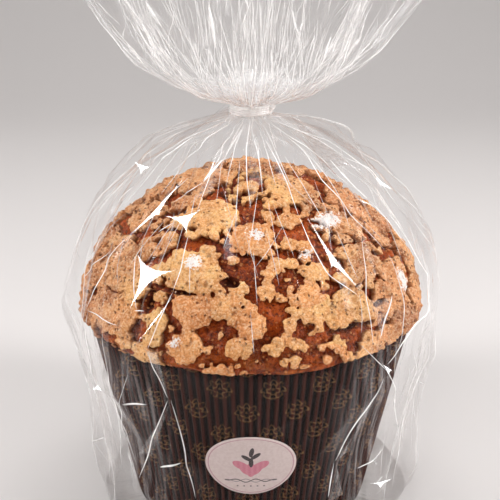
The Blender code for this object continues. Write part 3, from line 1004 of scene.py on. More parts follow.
# Petals and leaves: how far right of the label's middle and above it, in mm, and how many degrees aslant
PETALS = ((-4.6, 0.4, 58), (-2.9, -1.6, 30), (0.0, -2.4, 0), (2.9, -1.6, -30), (4.6, 0.4, -58))
PETAL_SIZE = (2.3, 4.6)
LEAVES = ((0.1, 2.4, 0), (-2.0, 5.3, 52), (2.2, 6.6, -48), (0.3, 9.0, -10))
LEAF_SIZE = (1.1, 3.0)
FLOURISH_DROP = 9.6
BEADS_DROP = 13.2


def label_material():
    paint = Paint("label_paper")
    place = paint.place()
    x, y, z = paint.parts(place)
    u = x.maths("ARCTAN2", y * -1.0) * (CASE_AT_LABEL * 1000)
    w = (z - LABEL_MIDDLE) * (1000 / LABEL_LEAN)

    def oval(place, half_sizes, blur):
        """1 inside an oval, 0 outside it, with a soft edge; its place is its middle and its slant."""
        middle_u, middle_w, slant = place
        du, dw = u - middle_u, w - middle_w
        c, s = math.cos(math.radians(slant)), math.sin(math.radians(slant))
        a = (du * c + dw * s) / half_sizes[0]
        b = (dw * c - du * s) / half_sizes[1]
        return (a * a + b * b).maths("SQRT").step(1 + blur, 1 - blur)

    def band(value, outer, inner):
        """1 within a distance of zero, fading to 0 further out."""
        return value.maths("ABSOLUTE").step(outer, inner)

    a, b = u / (LABEL_WIDTH * 500), w / (LABEL_HEIGHT * 500)
    ring = band((a * a + b * b).maths("SQRT") - 0.935, 0.016, 0.007)
    bloom = sum((oval(petal, PETAL_SIZE, 0.04) for petal in PETALS), 0.0).clamped()
    veins = ((u * 2.4).maths("SINE") * 0.5 + 0.5) * bloom
    stem = band(u - (w * 0.35).maths("SINE") * 0.5, 0.30, 0.16) * band(w - 5.4, 4.2, 3.9)
    sprig = sum((oval(leaf, LEAF_SIZE, 0.08) for leaf in LEAVES), stem).clamped()
    swing = (u * 0.62).maths("SINE") * (1.1 - u * u * 0.006)
    waves = band(w + FLOURISH_DROP - swing, 0.42, 0.22) + band(w + FLOURISH_DROP + swing, 0.32, 0.14) * 0.7
    flourish = waves.clamped() * band(u, 13.2, 12.6)
    beads = (u * 1.9).maths("COSINE").step(0.55, 0.8) * band(w + BEADS_DROP, 0.5, 0.3) * band(u, 7.4, 6.9)
    fibre = paint.noise(place, 700.0, 3.0)
    tone = paint.mix(fibre.step(0.35, 0.65), colour(214, 194, 190), colour(221, 203, 199))
    tone = paint.mix(ring * 0.75, tone, colour(178, 118, 130))
    tone = paint.mix(bloom, tone, colour(206, 122, 140))
    tone = paint.mix(veins * 0.3, tone, colour(224, 160, 170))
    ink = (sprig + flourish * 0.9 + beads * 0.75).clamped()
    tone = paint.mix(ink, tone, colour(58, 44, 46))
    return paint.finish(Base_Color=tone, Roughness=0.36 + fibre * 0.1, Coat_Weight=0.15 + fibre * 0.05,
                        Normal=paint.bump(fibre, 0.08, 0.0002))


def make_label():
    x, w, faces = disc_grid(LABEL_CELLS)
    height = LABEL_MIDDLE + w * LABEL_HEIGHT / 2 * LABEL_LEAN
    bend = x * LABEL_WIDTH / 2 / CASE_AT_LABEL
    share = np.hypot(x, w)
    # The paper dips by a hair into the grooves between the flutes
    dimple = 0.00004 * np.cos(FLUTES * bend)
    sheets = []
    for lift in (LABEL_CLEAR + LABEL_THICKNESS, LABEL_CLEAR):
        round_edge = 0.00012 * smoothstep(0.97, 1.0, share) * (1 if lift > LABEL_CLEAR else 0)
        radius = BASE_RADIUS + SLOPE * height + lift + dimple - round_edge
        sheets.append(around(radius, bend, height))
    edge = grid_edge(LABEL_CELLS + 1)
    count = len(x)
    wall = np.stack((np.roll(edge, -1), edge, edge + count, np.roll(edge, -1) + count), axis=1)
    label = mesh_object("oval_label", np.vstack(sheets), np.vstack((faces, faces[:, ::-1] + count, wall)))
    label.data.materials.append(label_material())
    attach(label, "root")
    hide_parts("label")
    return label


label = make_label()
print("label:", len(label.data.polygons), "faces")

# %% [markdown]
# ## The film
# Clear film is stiff: pulled together at the neck it breaks into flat facets with sharp creases between.
# The same lattice of pleats as the solids' gives those facets here, cut finer and rounded at the creases.

# %% The film's lattice
BODY_ROWS = 15
BODY_DEPTH_SHARE = 0.975
SIDE_FOLD = 0.018
LEFT_TUCK = 0.045
SIDE_FOLD_START = 0.86
FOOT_FOLDS = ((5, 0.022, 0.8), (9, 0.012, 2.0))
MOUTH_DEPTH_SHARE = 0.72
MOUTH_WAVES = 9
MOUTH_WAVE_DEPTH = 0.38
MOUTH_WAVE_LIFT = 0.006
PLEATS = 34
PLEAT_DEPTH = 0.075
PLEAT_REACH = (0.090, 0.180)
CRUMPLE = 0.0005
ROW_SCATTER = 0.30
BODY_OUTLINE = (
    (0.0830, 0.0000), (0.0855, 0.0250), (0.0890, 0.0600), (0.0935, 0.0900), (0.0970, 0.1130),
    (0.0920, 0.1390), (0.0785, 0.1620), (0.0590, 0.1805), (0.0360, 0.1965), (0.0165, 0.2030),
    (NECK_RADIUS, 0.2046),
)
MOUTH_OUTLINE = (
    (NECK_RADIUS, 0.2112), (0.0200, 0.2138), (0.0345, 0.2195), (0.0480, 0.2280),
    (0.0590, 0.2385), (0.0700, 0.2525), (0.0815, 0.2685), (0.0980, 0.2930),
)


def along(points, place):
    """The smooth curve through the points, at a place counted in points from the first."""
    line = np.array(points, float)
    line = np.vstack((2 * line[0] - line[1], line, 2 * line[-1] - line[-2]))
    start = min(int(place), len(points) - 2)
    a, b, c, d = line[start:start + 4]
    t = place - start
    return 0.5 * (2 * b + (c - a) * t + (2 * a - 5 * b + 4 * c - d) * t**2 + (3 * b - a - 3 * c + d) * t**3)


def straight(points, place):
    """The straight lines through the points, at a place counted in points from the first."""
    return [float(np.interp(place, range(len(points)), column)) for column in zip(*points)]


def pleat_edges():
    """Each pleat edge's turn, how far it stands out or in, and the height where it has faded out."""
    draw = random.Random(21)
    edges = []
    for i in range(2 * PLEATS):
        turn = math.pi * (i + draw.uniform(-0.28, 0.28)) / PLEATS
        depth = draw.uniform(0.35, 1.0) * (1 if i % 2 else -1)
        edges.append((turn, depth, draw.uniform(*PLEAT_REACH)))
    return edges


def body_point(edge, place, crumple):
    turn, depth, reach = edge
    width, height = straight(BODY_OUTLINE, place)
    neck_height = BODY_OUTLINE[-1][1]
    pleat = PLEAT_DEPTH * depth * min(max((height - reach) / (neck_height - reach), 0.0), 1.0)
    side = SIDE_FOLD * max(0.0, abs(math.sin(turn)) - SIDE_FOLD_START) / (1 - SIDE_FOLD_START)
    free = 1 - min(height / CASE_HEIGHT, 1.0)
    broad = free * sum(share * math.sin(count * turn + start) for count, share, start in FOOT_FOLDS)
    left = LEFT_TUCK * max(0.0, -math.sin(turn)) ** 3
    radius = width * (1 + side + broad + pleat - left) + crumple * min(width / RIM_RADIUS, 1.0)
    return (radius * math.sin(turn), -radius * math.cos(turn) * BODY_DEPTH_SHARE, height)


def mouth_point(edge, place, crumple):
    turn, depth, _ = edge
    width, height = along(MOUTH_OUTLINE, place)
    start, end = MOUTH_OUTLINE[0][1], MOUTH_OUTLINE[-1][1]
    spread = (height - start) / (end - start)
    wave = 0.5 - 0.5 * math.cos(MOUTH_WAVES * turn + 0.9 * math.sin(2 * turn + 0.5))
    wave *= 0.78 + 0.22 * math.sin(3 * turn + 1.2)
    dip = MOUTH_WAVE_DEPTH * wave * min(spread * 1.6, 1.0)
    radius = width * (1 - dip + PLEAT_DEPTH * depth * 0.7) + crumple * min(width / RIM_RADIUS, 1.0)
    flat = 1 - (1 - MOUTH_DEPTH_SHARE) * min(spread * 3, 1.0)
    height += MOUTH_WAVE_LIFT * wave * spread
    return (radius * math.sin(turn), -radius * math.cos(turn) * flat, height)


def film_rows(outline, rows, edges, seed, point_at):
    """Rows of film points up an outline, the inner ones scattered up and down and crumpled in and out."""
    draw = random.Random(seed)
    last = len(outline) - 1
    found = []
    for row in range(rows + 1):
        loose = 0.0 if row in (0, rows) else 1.0
        points = []
        for edge in edges:
            place = last * (row + loose * draw.uniform(-ROW_SCATTER, ROW_SCATTER)) / rows
            points.append(point_at(edge, place, loose * draw.uniform(-CRUMPLE, CRUMPLE)))
        found.append(points)
    return np.array(found)


edges = pleat_edges()
print(len(edges), "pleat edges round the neck")

# %% [markdown]
# ## The film: finer facets
# A facet of the lattice is several millimetres wide. Each is cut into a finer grid that keeps it flat, and
# only the creases between facets are rounded, by moving each point a little towards its neighbours.

# %% The film's finer facets
def refine(lattice, across, up, rounding):
    """Cuts each cell of a closed lattice into two flat triangles on a finer grid, and rounds the creases.
    Gives the points by row and column."""
    rows, columns = lattice.shape[0] - 1, lattice.shape[1]
    r = np.arange(rows * up + 1)
    c = np.arange(columns * across)
    cell_r = np.minimum(r // up, rows - 1)[:, None]
    cell_c = (c // across)[None, :]
    t = (r[:, None] - cell_r * up) / up
    s = (c[None, :] - cell_c * across) / across
    t, s = (share[..., None] for share in np.broadcast_arrays(t, s))
    a = lattice[cell_r, cell_c]
    b = lattice[cell_r, (cell_c + 1) % columns]
    d = lattice[cell_r + 1, cell_c]
    e = lattice[cell_r + 1, (cell_c + 1) % columns]
    rising = np.where(s >= t, a + s * (b - a) + t * (e - b), a + t * (d - a) + s * (e - d))
    falling = np.where(s + t <= 1, a + s * (b - a) + t * (d - a), e + (1 - s) * (d - e) + (1 - t) * (b - e))
    # Which way a cell is folded follows no pattern that the eye would find
    leans = ((cell_r * 7 + cell_c * 3 + cell_c // 5) % 2)[..., None]
    points = np.where(leans > 0, rising, falling)
    for _ in range(rounding):
        sides = (np.roll(points, 1, axis=1) + np.roll(points, -1, axis=1)) / 2
        ends = points.copy()
        ends[1:-1] = (points[2:] + points[:-2]) / 2
        points = 0.5 * points + 0.25 * sides + 0.25 * ends
    return points


def closed_rows(rows, columns):
    """The square faces between rows of points that close on themselves."""
    index = np.arange(rows * columns).reshape(rows, columns)
    right = np.roll(index, -1, axis=1)
    return np.stack((index[:-1], right[:-1], right[1:], index[1:]), axis=-1).reshape(-1, 4)


print("faces between 3 closed rows of 4 points:", len(closed_rows(3, 4)))

# %% [markdown]
# ## The film: its materials
# Film is clear where it is seen square on and shines like a mirror where it turns away. Here a mixture of a
# mirror and nothing at all does that: the mirror's share grows with the slant, with the number of layers and
# with the crumpling. Creases, flat facets and doubled film each have a share of their own.

# %% The film's materials
# How many streaks of crumpled film lie in one unit of the layout, round the film and up it
STREAK_CELLS = (7.0, 0.8, 1.0)
FLAP_STREAKS = (1.0, 1.0, 0.16)
CREASE_GLOW = 0.30


def film_material(name, least, gathered, mirror):
    """Clear film: it lets light through but for a mirror-like share that grows where it turns away.
    Where it is gathered, many layers make it milky."""
    paint = Paint(name)
    spread = paint.node("ShaderNodeUVMap", {"uv_map": "film"}, output="UV")
    scuff = paint.noise(spread, 17.0, 3.0, 0.6)
    ripple = paint.noise(spread, 2.1, 1.0)
    streak = paint.noise(paint.stretched(spread, STREAK_CELLS), 1.0, 3.0, 0.6).step(0.40, 0.76)
    crumple = paint.attribute("crumple") * streak
    bump = paint.bump(ripple + scuff * 0.03 + crumple * 0.25, 0.16, 0.0016)
    facing = paint.node("ShaderNodeLayerWeight", None, Blend=0.5, Normal=bump, output="Facing")
    gather = paint.attribute("gather")
    share = facing.maths("POWER", 5.0) * 0.9 + least + gather * gathered + crumple * 0.34
    paint.finish(Base_Color=(0.98, 0.97, 0.97), Metallic=mirror - gather * 0.5, Roughness=0.05 + scuff * 0.05,
                 Normal=bump)
    return paint.seen_through(share)


def crease_material():
    """A crease is crazed film: it scatters light and looks white, and it is given a painted glow of its own.
    """
    paint = Paint("white_crease")
    place = paint.place()
    broken = paint.noise(place, 90.0, 2.0).step(0.30, 0.62)
    fine = paint.noise(place, 700.0, 2.0)
    tone = paint.mix(fine.step(0.35, 0.65), colour(244, 240, 238), colour(255, 253, 252))
    # Painted glow: the crease gives out light of its own, so it shows white under any light
    paint.finish(Base_Color=tone, Roughness=0.22 + fine * 0.15, Emission_Color=(1.0, 0.99, 0.98),
                 Emission_Strength=CREASE_GLOW)
    return paint.seen_through(paint.attribute("cover") * (0.45 + broken * 0.55))


def facet_material():
    """A flat facet of stretched film, smooth as a mirror."""
    paint = Paint("flat_facet")
    scuff = paint.noise(paint.place(), 160.0, 3.0)
    paint.finish(Base_Color=(0.97, 0.97, 0.97), Metallic=1.0, Roughness=0.10 + scuff * 0.05)
    return paint.seen_through(0.07 + scuff * 0.04)


def flap_material():
    """Film lying double, a little milky, with a faint pink painted in for the loaf's light seen under it."""
    paint = Paint("doubled_film")
    place = paint.place()
    worn = paint.noise(place, 45.0, 3.0)
    streak = paint.noise(paint.stretched(place, FLAP_STREAKS), 420.0, 3.0, 0.6).step(0.40, 0.68)
    # The faint pink is a painted tint for the loaf's light under the film; the milkiness is the film's own
    tone = paint.mix(worn.step(0.35, 0.65), colour(238, 226, 222), colour(250, 246, 244))
    paint.finish(Base_Color=tone, Roughness=0.15 + worn * 0.1)
    return paint.seen_through(worn * 0.07 + streak * 0.12)


# %% [markdown]
# ## The film: rolled out flat, then dented
# Film starts as a flat sheet, so its pattern is laid out on the sheet: a map of the surface counts round it
# and up it. Geometry Nodes press shallow dents into the tube by that map, and sharp ridges stay between them.

# %% The film rolled out, and its dents
# How many dents of each kind lie in one unit of the layout, round the film and up it
DENT_CELLS = {"Long": (1.0, 0.36, 1.0), "Broad": (0.55, 0.80, 1.0), "Fine": (2.6, 0.42, 1.0)}
# The film isn't dented at its slit, for this many columns, nor at the foot, up to this height
SLIT_COLUMNS = 8
FOOT_HEIGHT = 0.010


def rolled_out(points, cells, length):
    """Where each point lies on the film when it is slit at the back and laid flat, counted in cells: so many
    round it, each of a length up it."""
    turn = np.unwrap(turn_of(points), axis=1)
    radius = np.linalg.norm(points[..., :2], axis=2).mean(axis=1)
    profile = np.stack((radius, points[..., 2].mean(axis=1)), axis=1)
    steps = np.linalg.norm(np.diff(profile, axis=0), axis=1)
    up = np.concatenate(((0.0,), np.cumsum(steps)))[:, None] / length
    return np.stack((turn * cells / (2 * math.pi), np.broadcast_to(up, turn.shape)), axis=-1)


def film_mesh(name, points, layout, gather):
    """A closed tube of film with its layout as a UV map that is slit at the back."""
    rows, columns = points.shape[:2]
    film = mesh_object(name, points.reshape(-1, 3), closed_rows(rows, columns))
    first = layout[:, :1] + (2 * layout[:, -1:] - layout[:, -2:-1] - layout[:, :1]) * (1, 0)
    wide = np.concatenate((layout, first), axis=1)
    corners = np.stack((wide[:-1, :-1], wide[:-1, 1:], wide[1:, 1:], wide[1:, :-1]), axis=2)
    film.data.uv_layers.new(name="film")
    film.data.uv_layers["film"].data.foreach_set("uv", corners.astype(np.float32).ravel())
    flat = np.concatenate((layout, np.zeros((rows, columns, 1))), axis=-1)
    layer = film.data.attributes.new("layout", "FLOAT_VECTOR", "POINT")
    layer.data.foreach_set("vector", flat.astype(np.float32).ravel())
    near_slit = np.minimum(np.arange(columns), columns - np.arange(columns))
    loose = smoothstep(0, SLIT_COLUMNS, near_slit) * smoothstep(0, FOOT_HEIGHT, points[..., 2])
    give_values(film, "loose", (loose * (1 - 0.75 * gather)).ravel())
    give_values(film, "gather", gather.ravel())
    return film


def dented(start, name, material, depths):
    """Presses shallow dents into a film mesh. Their shared borders are sharp ridges."""
    tree = Tree(name + "_dents")
    spread = tree.stored("layout", "FLOAT_VECTOR")
    push = 0.0
    for (title, cells), depth in zip(DENT_CELLS.items(), depths):
        near = tree.node("ShaderNodeTexVoronoi", {"voronoi_dimensions": "2D", "feature": "F1"},
                         Vector=tree.stretched(spread, cells), Scale=1.0, Randomness=1.0, output="Distance")
        push = push + (near * near - 0.18) * tree.number(title + " dent depth", depth)
    outward = tree.node("GeometryNodeInputNormal")
    offset = tree.node("ShaderNodeVectorMath", {"operation": "SCALE"}, outward,
                       Scale=push * tree.stored("loose", "FLOAT"))
    entry = Value(tree, tree.entry.outputs["Geometry"])
    moved = tree.node("GeometryNodeSetPosition", None, entry, Offset=offset)
    return tree.build(name, moved, material, start)


print("kinds of dents:", ", ".join(DENT_CELLS))

# %% [markdown]
# ## The bag: its body, its mouth and its neck
# The body stands on the table, bellies out round the loaf and is drawn in at the neck. Above the tie the same
# film flares out again in pleats. Inside the tie it is bunched into folds that nothing is seen through.

# %% The bag's body
BODY_ACROSS, BODY_UP = 9, 10
BODY_CELLS, BODY_CELL_LENGTH = 25, 0.040
BODY_DENTS = (0.0040, 0.0085, 0.0004)
# The bag's floor lies under the case, folded flat
FLOOR_RADII = (0.004, 0.030, 0.060)
FLOOR_HEIGHT = -0.0003


def crumpled(points):
    """Where the film is crumpled into fine streaks: over both lower sides of the case, less at the back."""
    turn = np.abs(np.degrees(turn_of(points)))
    sides = smoothstep(20, 40, turn) * (1 - 0.78 * smoothstep(56, 92, turn))
    return sides * smoothstep(0.124, 0.096, points[:, 2])


def make_bag():
    lattice = film_rows(BODY_OUTLINE, BODY_ROWS, edges, 5, body_point)
    points = refine(lattice, BODY_ACROSS, BODY_UP, 2)
    # The first column goes to the back, where the film's own seam is
    points = np.roll(points, points.shape[1] // 2, axis=1)
    layout = rolled_out(points, BODY_CELLS, BODY_CELL_LENGTH)
    under = len(FLOOR_RADII)
    share = np.concatenate((np.zeros(under), np.linspace(0, 1, len(points))))
    floor = [around(radius, turn_of(points[0]), FLOOR_HEIGHT) for radius in FLOOR_RADII]
    points = np.concatenate((floor, points))
    layout = np.concatenate((np.repeat(layout[:1], under, axis=0) - np.array((0, 1)), layout))
    gather = np.broadcast_to(smoothstep(0.78, 1.0, share)[:, None], points.shape[:2])
    start = film_mesh("film_start", points, layout, gather)
    give_values(start, "crumple", crumpled(points.reshape(-1, 3)))
    material = film_material("clear_film_body", least=0.009, gathered=0.12, mirror=1.0)
    bag = dented(start, "film_body", material, BODY_DENTS)
    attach(bag, "root")
    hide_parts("bag")
    return bag


bag = make_bag()
print("bag:", len(bag.data.polygons), "faces")

# %% The bag's mouth
MOUTH_ACROSS, MOUTH_UP = 9, 16
MOUTH_CELLS, MOUTH_CELL_LENGTH = 34, 0.060
MOUTH_DENTS = (0.0044, 0.0060, 0.0012)
FINE_PLEAT = 0.0008


def make_mouth():
    rows = len(MOUTH_OUTLINE) - 1
    lattice = film_rows(MOUTH_OUTLINE, rows, edges, 9, mouth_point)
    points = refine(lattice, MOUTH_ACROSS, MOUTH_UP, 1)
    points = np.roll(points, points.shape[1] // 2, axis=1)
    count, columns = points.shape[:2]
    # Fine pleats run from the neck, each with its own depth, and fade towards the top edge
    depth = np.random.default_rng(17).uniform(-1, 1, columns)
    share = np.linspace(0, 1, count)
    strength = FINE_PLEAT * np.minimum(share * 6, 1) * (1 - 0.55 * share)
    points = points + unit(points * (1, 1, 0)) * (strength[:, None] * depth)[..., None]
    foot = points[:1].copy()
    foot[..., 2] = BODY_OUTLINE[-1][1]
    points = np.concatenate((foot, points))
    gathered = smoothstep(0.50, 0.0, np.concatenate(((0.0,), share)))[:, None]
    gather = np.broadcast_to(gathered, points.shape[:2])
    start = film_mesh("mouth_start", points, rolled_out(points, MOUTH_CELLS, MOUTH_CELL_LENGTH), gather)
    material = film_material("clear_film_mouth", least=0.085, gathered=0.12, mirror=0.5)
    mouth = dented(start, "film_mouth", material, MOUTH_DENTS)
    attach(mouth, "root")
    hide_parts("mouth")
    return mouth


mouth = make_mouth()
print("mouth:", len(mouth.data.polygons), "faces")

# %% The folds bunched in the neck
BUNCH_PLEATS = 17
POINTS_A_FOLD = 12
BUNCH_ROWS = 44
BUNCH_WAVE = 0.20
BUNCH_LIFT = 0.05
# From the middle of the neck out and up along the ruffle, then back inside to the middle
BUNCH_OUTLINE = (
    (0.0004, 0.2050), (0.0042, 0.2072), (0.0060, 0.2102), (0.0090, 0.2130), (0.0135, 0.2150),
    (0.0185, 0.2172), (0.0190, 0.2200), (0.0140, 0.2190), (0.0085, 0.2160), (0.0045, 0.2120),
    (0.0020, 0.2085), (0.0004, 0.2070),
)


def make_bunch():
    """The film's inner folds: they fill the neck, so that nothing is seen down through it."""
    turn = np.linspace(0, 2 * math.pi, BUNCH_PLEATS * POINTS_A_FOLD, endpoint=False)
    rows = []
    for share in np.linspace(0, 1, BUNCH_ROWS):
        radius, height = along(BUNCH_OUTLINE, (len(BUNCH_OUTLINE) - 1) * share)
        wave = np.cos(BUNCH_PLEATS * turn + 1.4 * np.sin(3 * turn) + 4 * share)
        rows.append(around(radius * (1 + BUNCH_WAVE * wave), turn, height + BUNCH_LIFT * radius * wave))
    points = np.array(rows)
    layout = rolled_out(points, MOUTH_CELLS, MOUTH_CELL_LENGTH)
    bunch = film_mesh("film_bunch", points, layout, np.ones(points.shape[:2]))
    bunch.data.materials.append(mouth.data.materials[0])
    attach(bunch, "root")
    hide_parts("mouth")
    return bunch


bunch = make_bunch()
print("bunched folds:", len(bunch.data.polygons), "faces")

# %% [markdown]
# ## The film's creases
# Where film has been folded it keeps a thin white line, straight from one dent to the next. Each is a narrow
# ridge laid on the film, pointed at both ends. The long ones are placed as on this bag, by turn and height,
# and a fixed rule scatters finer ones: down from the neck, up through the ruffle and crosswise low down.

# %% The lines of the creases
# Width in mm, how white, then (turn in degrees, height in mm) from end to end
PLACED_CREASES = (
    (0.5, 0.8, (-40, 156), (-34, 135)), (0.5, 0.8, (-35, 134), (-30, 137)),
    (0.5, 0.8, (-32, 169), (-36, 165)), (0.5, 0.8, (-22, 168), (-22, 154), (-23, 146)),
    (0.5, 0.9, (-23, 146), (-25, 135), (-29, 119)), (0.5, 0.9, (-34, 186), (-47, 161)),
    (0.6, 0.9, (-47, 161), (-53, 144), (-58, 122)), (0.5, 0.8, (-66, 161), (-59, 179)),
    (0.5, 0.8, (-67, 132), (-52, 153)), (0.9, 0.8, (-56, 190), (-54, 199)),
    (1.6, 0.9, (-22, 187), (-16, 195)), (0.5, 0.8, (-36, 176), (-22, 187)),
    (0.5, 0.7, (-16, 195), (-13, 202)), (0.5, 0.9, (-2, 204), (-3, 198), (-2, 187), (0, 177)),
    (0.4, 0.8, (0, 203), (5, 195), (6, 185)), (0.5, 0.8, (13, 200), (18, 188), (19, 174)),
    (0.6, 0.95, (19, 174), (20, 165), (24, 152), (33, 141)),
    (0.6, 0.8, (42, 200), (36, 185), (40, 172), (49, 154)), (1.2, 0.8, (57, 189), (54, 174)),
    (0.6, 0.8, (64, 199), (66, 189)), (0.6, 0.9, (58, 168), (64, 135)),
    (0.5, 0.8, (41, 162), (36, 138), (37, 116)), (1.0, 0.9, (46, 136), (42, 127), (40, 118)),
    (0.9, 0.9, (67, 124), (51, 116), (42, 104)), (0.5, 0.8, (-58, 122), (-41, 124)),
    (0.7, 0.8, (-57, 122), (-55, 81)), (0.5, 0.7, (-29, 118), (-25, 93)),
    (0.7, 0.8, (-25, 92), (-32, 67), (-40, 38)), (0.6, 0.8, (-24, 93), (-20, 64), (-19, 35)),
    (0.9, 0.8, (41, 98), (33, 79), (27, 56)), (0.7, 0.8, (27, 56), (27, 33)),
    (0.7, 0.8, (51, 48), (37, 46)), (0.6, 0.8, (32, 119), (42, 101), (62, 44)),
    (0.5, 0.7, (-36, 103), (-47, 63), (-41, 46)), (0.5, 0.8, (-48, 119), (-45, 83), (-53, 33)),
    (0.5, 0.7, (51, 112), (63, 56), (64, 10)), (0.5, 0.7, (-39, 204), (-35, 197), (-47, 186)),
    (0.4, 0.7, (-31, 203), (-19, 194), (-21, 175)), (0.4, 0.7, (20, 204), (19, 196), (20, 183)),
    (0.5, 0.8, (42, 203), (44, 195), (54, 179)), (0.5, 0.7, (-57, 204), (-66, 195), (-58, 188)),
    (0.5, 0.8, (48, 204), (68, 195), (68, 173)), (0.4, 0.7, (-14, 203), (-11, 195), (-12, 184)),
    (0.4, 0.7, (11, 203), (12, 193), (13, 184)), (1.0, 0.95, (-31, 50), (-21.5, 59)),
    (0.9, 0.8, (-40, 84), (-36, 87), (-32, 87)), (0.6, 0.8, (54, 174), (58, 154)),
    (0.5, 0.7, (50, 153), (51, 131), (46, 108)), (0.6, 0.8, (65, 189), (71, 181), (78, 170)),
)


def scattered_creases(count, seed, low, high, length, slant, width, white, turns=(-180, 180)):
    """Straight creases that start between two heights and run down (or up) a length, a little aslant."""
    draw = random.Random(seed)
    lines = []
    for _ in range(count):
        turn, height = draw.uniform(*turns), draw.uniform(low, high)
        run, lean = draw.uniform(*length), draw.gauss(0, slant)
        ends = (turn, height), (turn + lean, height + run)
        lines.append((draw.uniform(*width), draw.uniform(*white), *ends))
    return lines


BODY_CREASES = (
    *PLACED_CREASES,
    *scattered_creases(96, 41, 168, 204, (-30, -8), 5, (0.22, 0.40), (0.25, 0.7)),
    *scattered_creases(46, 42, 130, 190, (-50, -18), 7, (0.25, 0.5), (0.35, 0.8), (60, 300)),
    *scattered_creases(9, 43, 140, 180, (-26, -12), 3, (0.25, 0.40), (0.2, 0.5), (-60, 60)),
    *scattered_creases(46, 44, 12, 116, (-22, 22), 9, (0.25, 0.6), (0.3, 0.9), (46, 314)),
    *scattered_creases(26, 45, 30, 116, (-60, -14), 5, (0.25, 0.5), (0.3, 0.8), (44, 96)),
    *scattered_creases(26, 49, 30, 116, (-60, -14), 5, (0.25, 0.5), (0.3, 0.8), (264, 316)),
    *scattered_creases(22, 50, 30, 112, (-50, -14), 5, (0.25, 0.4), (0.2, 0.6), (100, 260)),
)
MOUTH_CREASES = (
    *scattered_creases(380, 46, 212, 232, (8, 44), 4, (0.22, 0.44), (0.35, 0.9)),
    *scattered_creases(150, 47, 228, 270, (10, 34), 3, (0.22, 0.45), (0.3, 0.85)),
    *scattered_creases(26, 48, 222, 262, (6, 20), 3, (0.9, 2.0), (0.5, 0.95)),
)
print(len(BODY_CREASES), "creases on the bag's body and", len(MOUTH_CREASES), "on its mouth")

# %% [markdown]
# ## The film's ridges, facets and flaps
# Each crease is laid on the dented film by sending rays in at it, so it follows the surface. A few bits of
# film are stretched flat and flash white: thin plates that are turned to mirror a light. Where film lies
# double, thin milky plates stand for the second layer.

# %% Ridges on the film
# A ray is sent in at the film from this far out, and gives up just before the axis
RAY_START = 0.150
RAY_END = 0.148
RIDGE_STEP = 0.0015
SHORTEST_STEP = 0.0004
RIDGE_LIFT = 0.0003
PLATE_HALF_THICKNESS = 0.0001
PLATE_SIDE_POINTS = 8
FACET_LIFT = 0.0008
FLAP_LIFT = 0.0015


def film_surface(film):
    """A way to find the film's outermost point at a turn in degrees and a height in mm, if there is one."""
    corners = [point.co.copy() for point in film.data.vertices]
    faces = BVHTree.FromPolygons(corners, [tuple(face.vertices) for face in film.data.polygons])

    def at(turn, height):
        turn = math.radians(turn)
        out = Vector((math.sin(turn), -math.cos(turn), 0))
        start = out * RAY_START + Vector((0, 0, height / 1000))
        hit, _, _, distance = faces.ray_cast(start, -out)
        return hit if hit is not None and distance < RAY_END else None

    return at


def ridge_points(at, line):
    """Evenly spaced points on the film, along straight chords between the line's places."""
    stops = [at(turn, height) for turn, height in line]
    found = []
    for first, last in zip(stops, stops[1:]):
        if first is None or last is None:
            break
        count = max(3, int((last - first).length / RIDGE_STEP))
        for i in range(count):
            chord = first.lerp(last, i / (count - 1))
            spot = at(math.degrees(math.atan2(chord.x, -chord.y)), chord.z * 1000)
            if spot is None:
                return found
            if not found or (spot - found[-1]).length > SHORTEST_STEP:
                found.append(spot)
    return found


def make_creases(name, film, lines, material):
    """Narrow ridges of three sides along the lines, pointed at both ends, as one mesh."""
    at = film_surface(film)
    points, faces, cover = [], [], []
    for width, white, *line in lines:
        spots = ridge_points(at, line)
        if len(spots) < 4:
            continue
        path = np.array(spots)
        for _ in range(2):
            path[1:-1] = 0.5 * path[1:-1] + 0.25 * (path[2:] + path[:-2])
        ahead = unit(np.gradient(path, axis=0))
        out = path * (1, 1, 0.35)
        out = unit(out - (out * ahead).sum(axis=1, keepdims=True) * ahead)[1:-1]
        side = np.cross(ahead[1:-1], out)
        share = np.linspace(0, 1, len(path))[1:-1, None]
        half = width / 2000 * np.sin(np.pi * share) ** 0.6
        middle = path[1:-1] + out * RIDGE_LIFT
        ridge = middle + out * np.minimum(half, RIDGE_LIFT)
        first = len(points)
        points.append(path[0])
        points.extend(np.stack((middle - side * half, ridge, middle + side * half), axis=1).reshape(-1, 3))
        points.append(path[-1])
        rings, last = len(middle), len(points) - 1
        for k in range(3):
            n = (k + 1) % 3
            faces.append((first, first + 1 + n, first + 1 + k))
            faces.append((last, last - 3 + k, last - 3 + n))
            for ring in range(rings - 1):
                a = first + 1 + 3 * ring
                faces.append((a + k, a + n, a + 3 + n, a + 3 + k))
        cover.extend([white] * (last + 1 - first))
    creases = mesh_object(name, points, faces)
    give_values(creases, "cover", cover)
    creases.data.materials.append(material)
    return creases


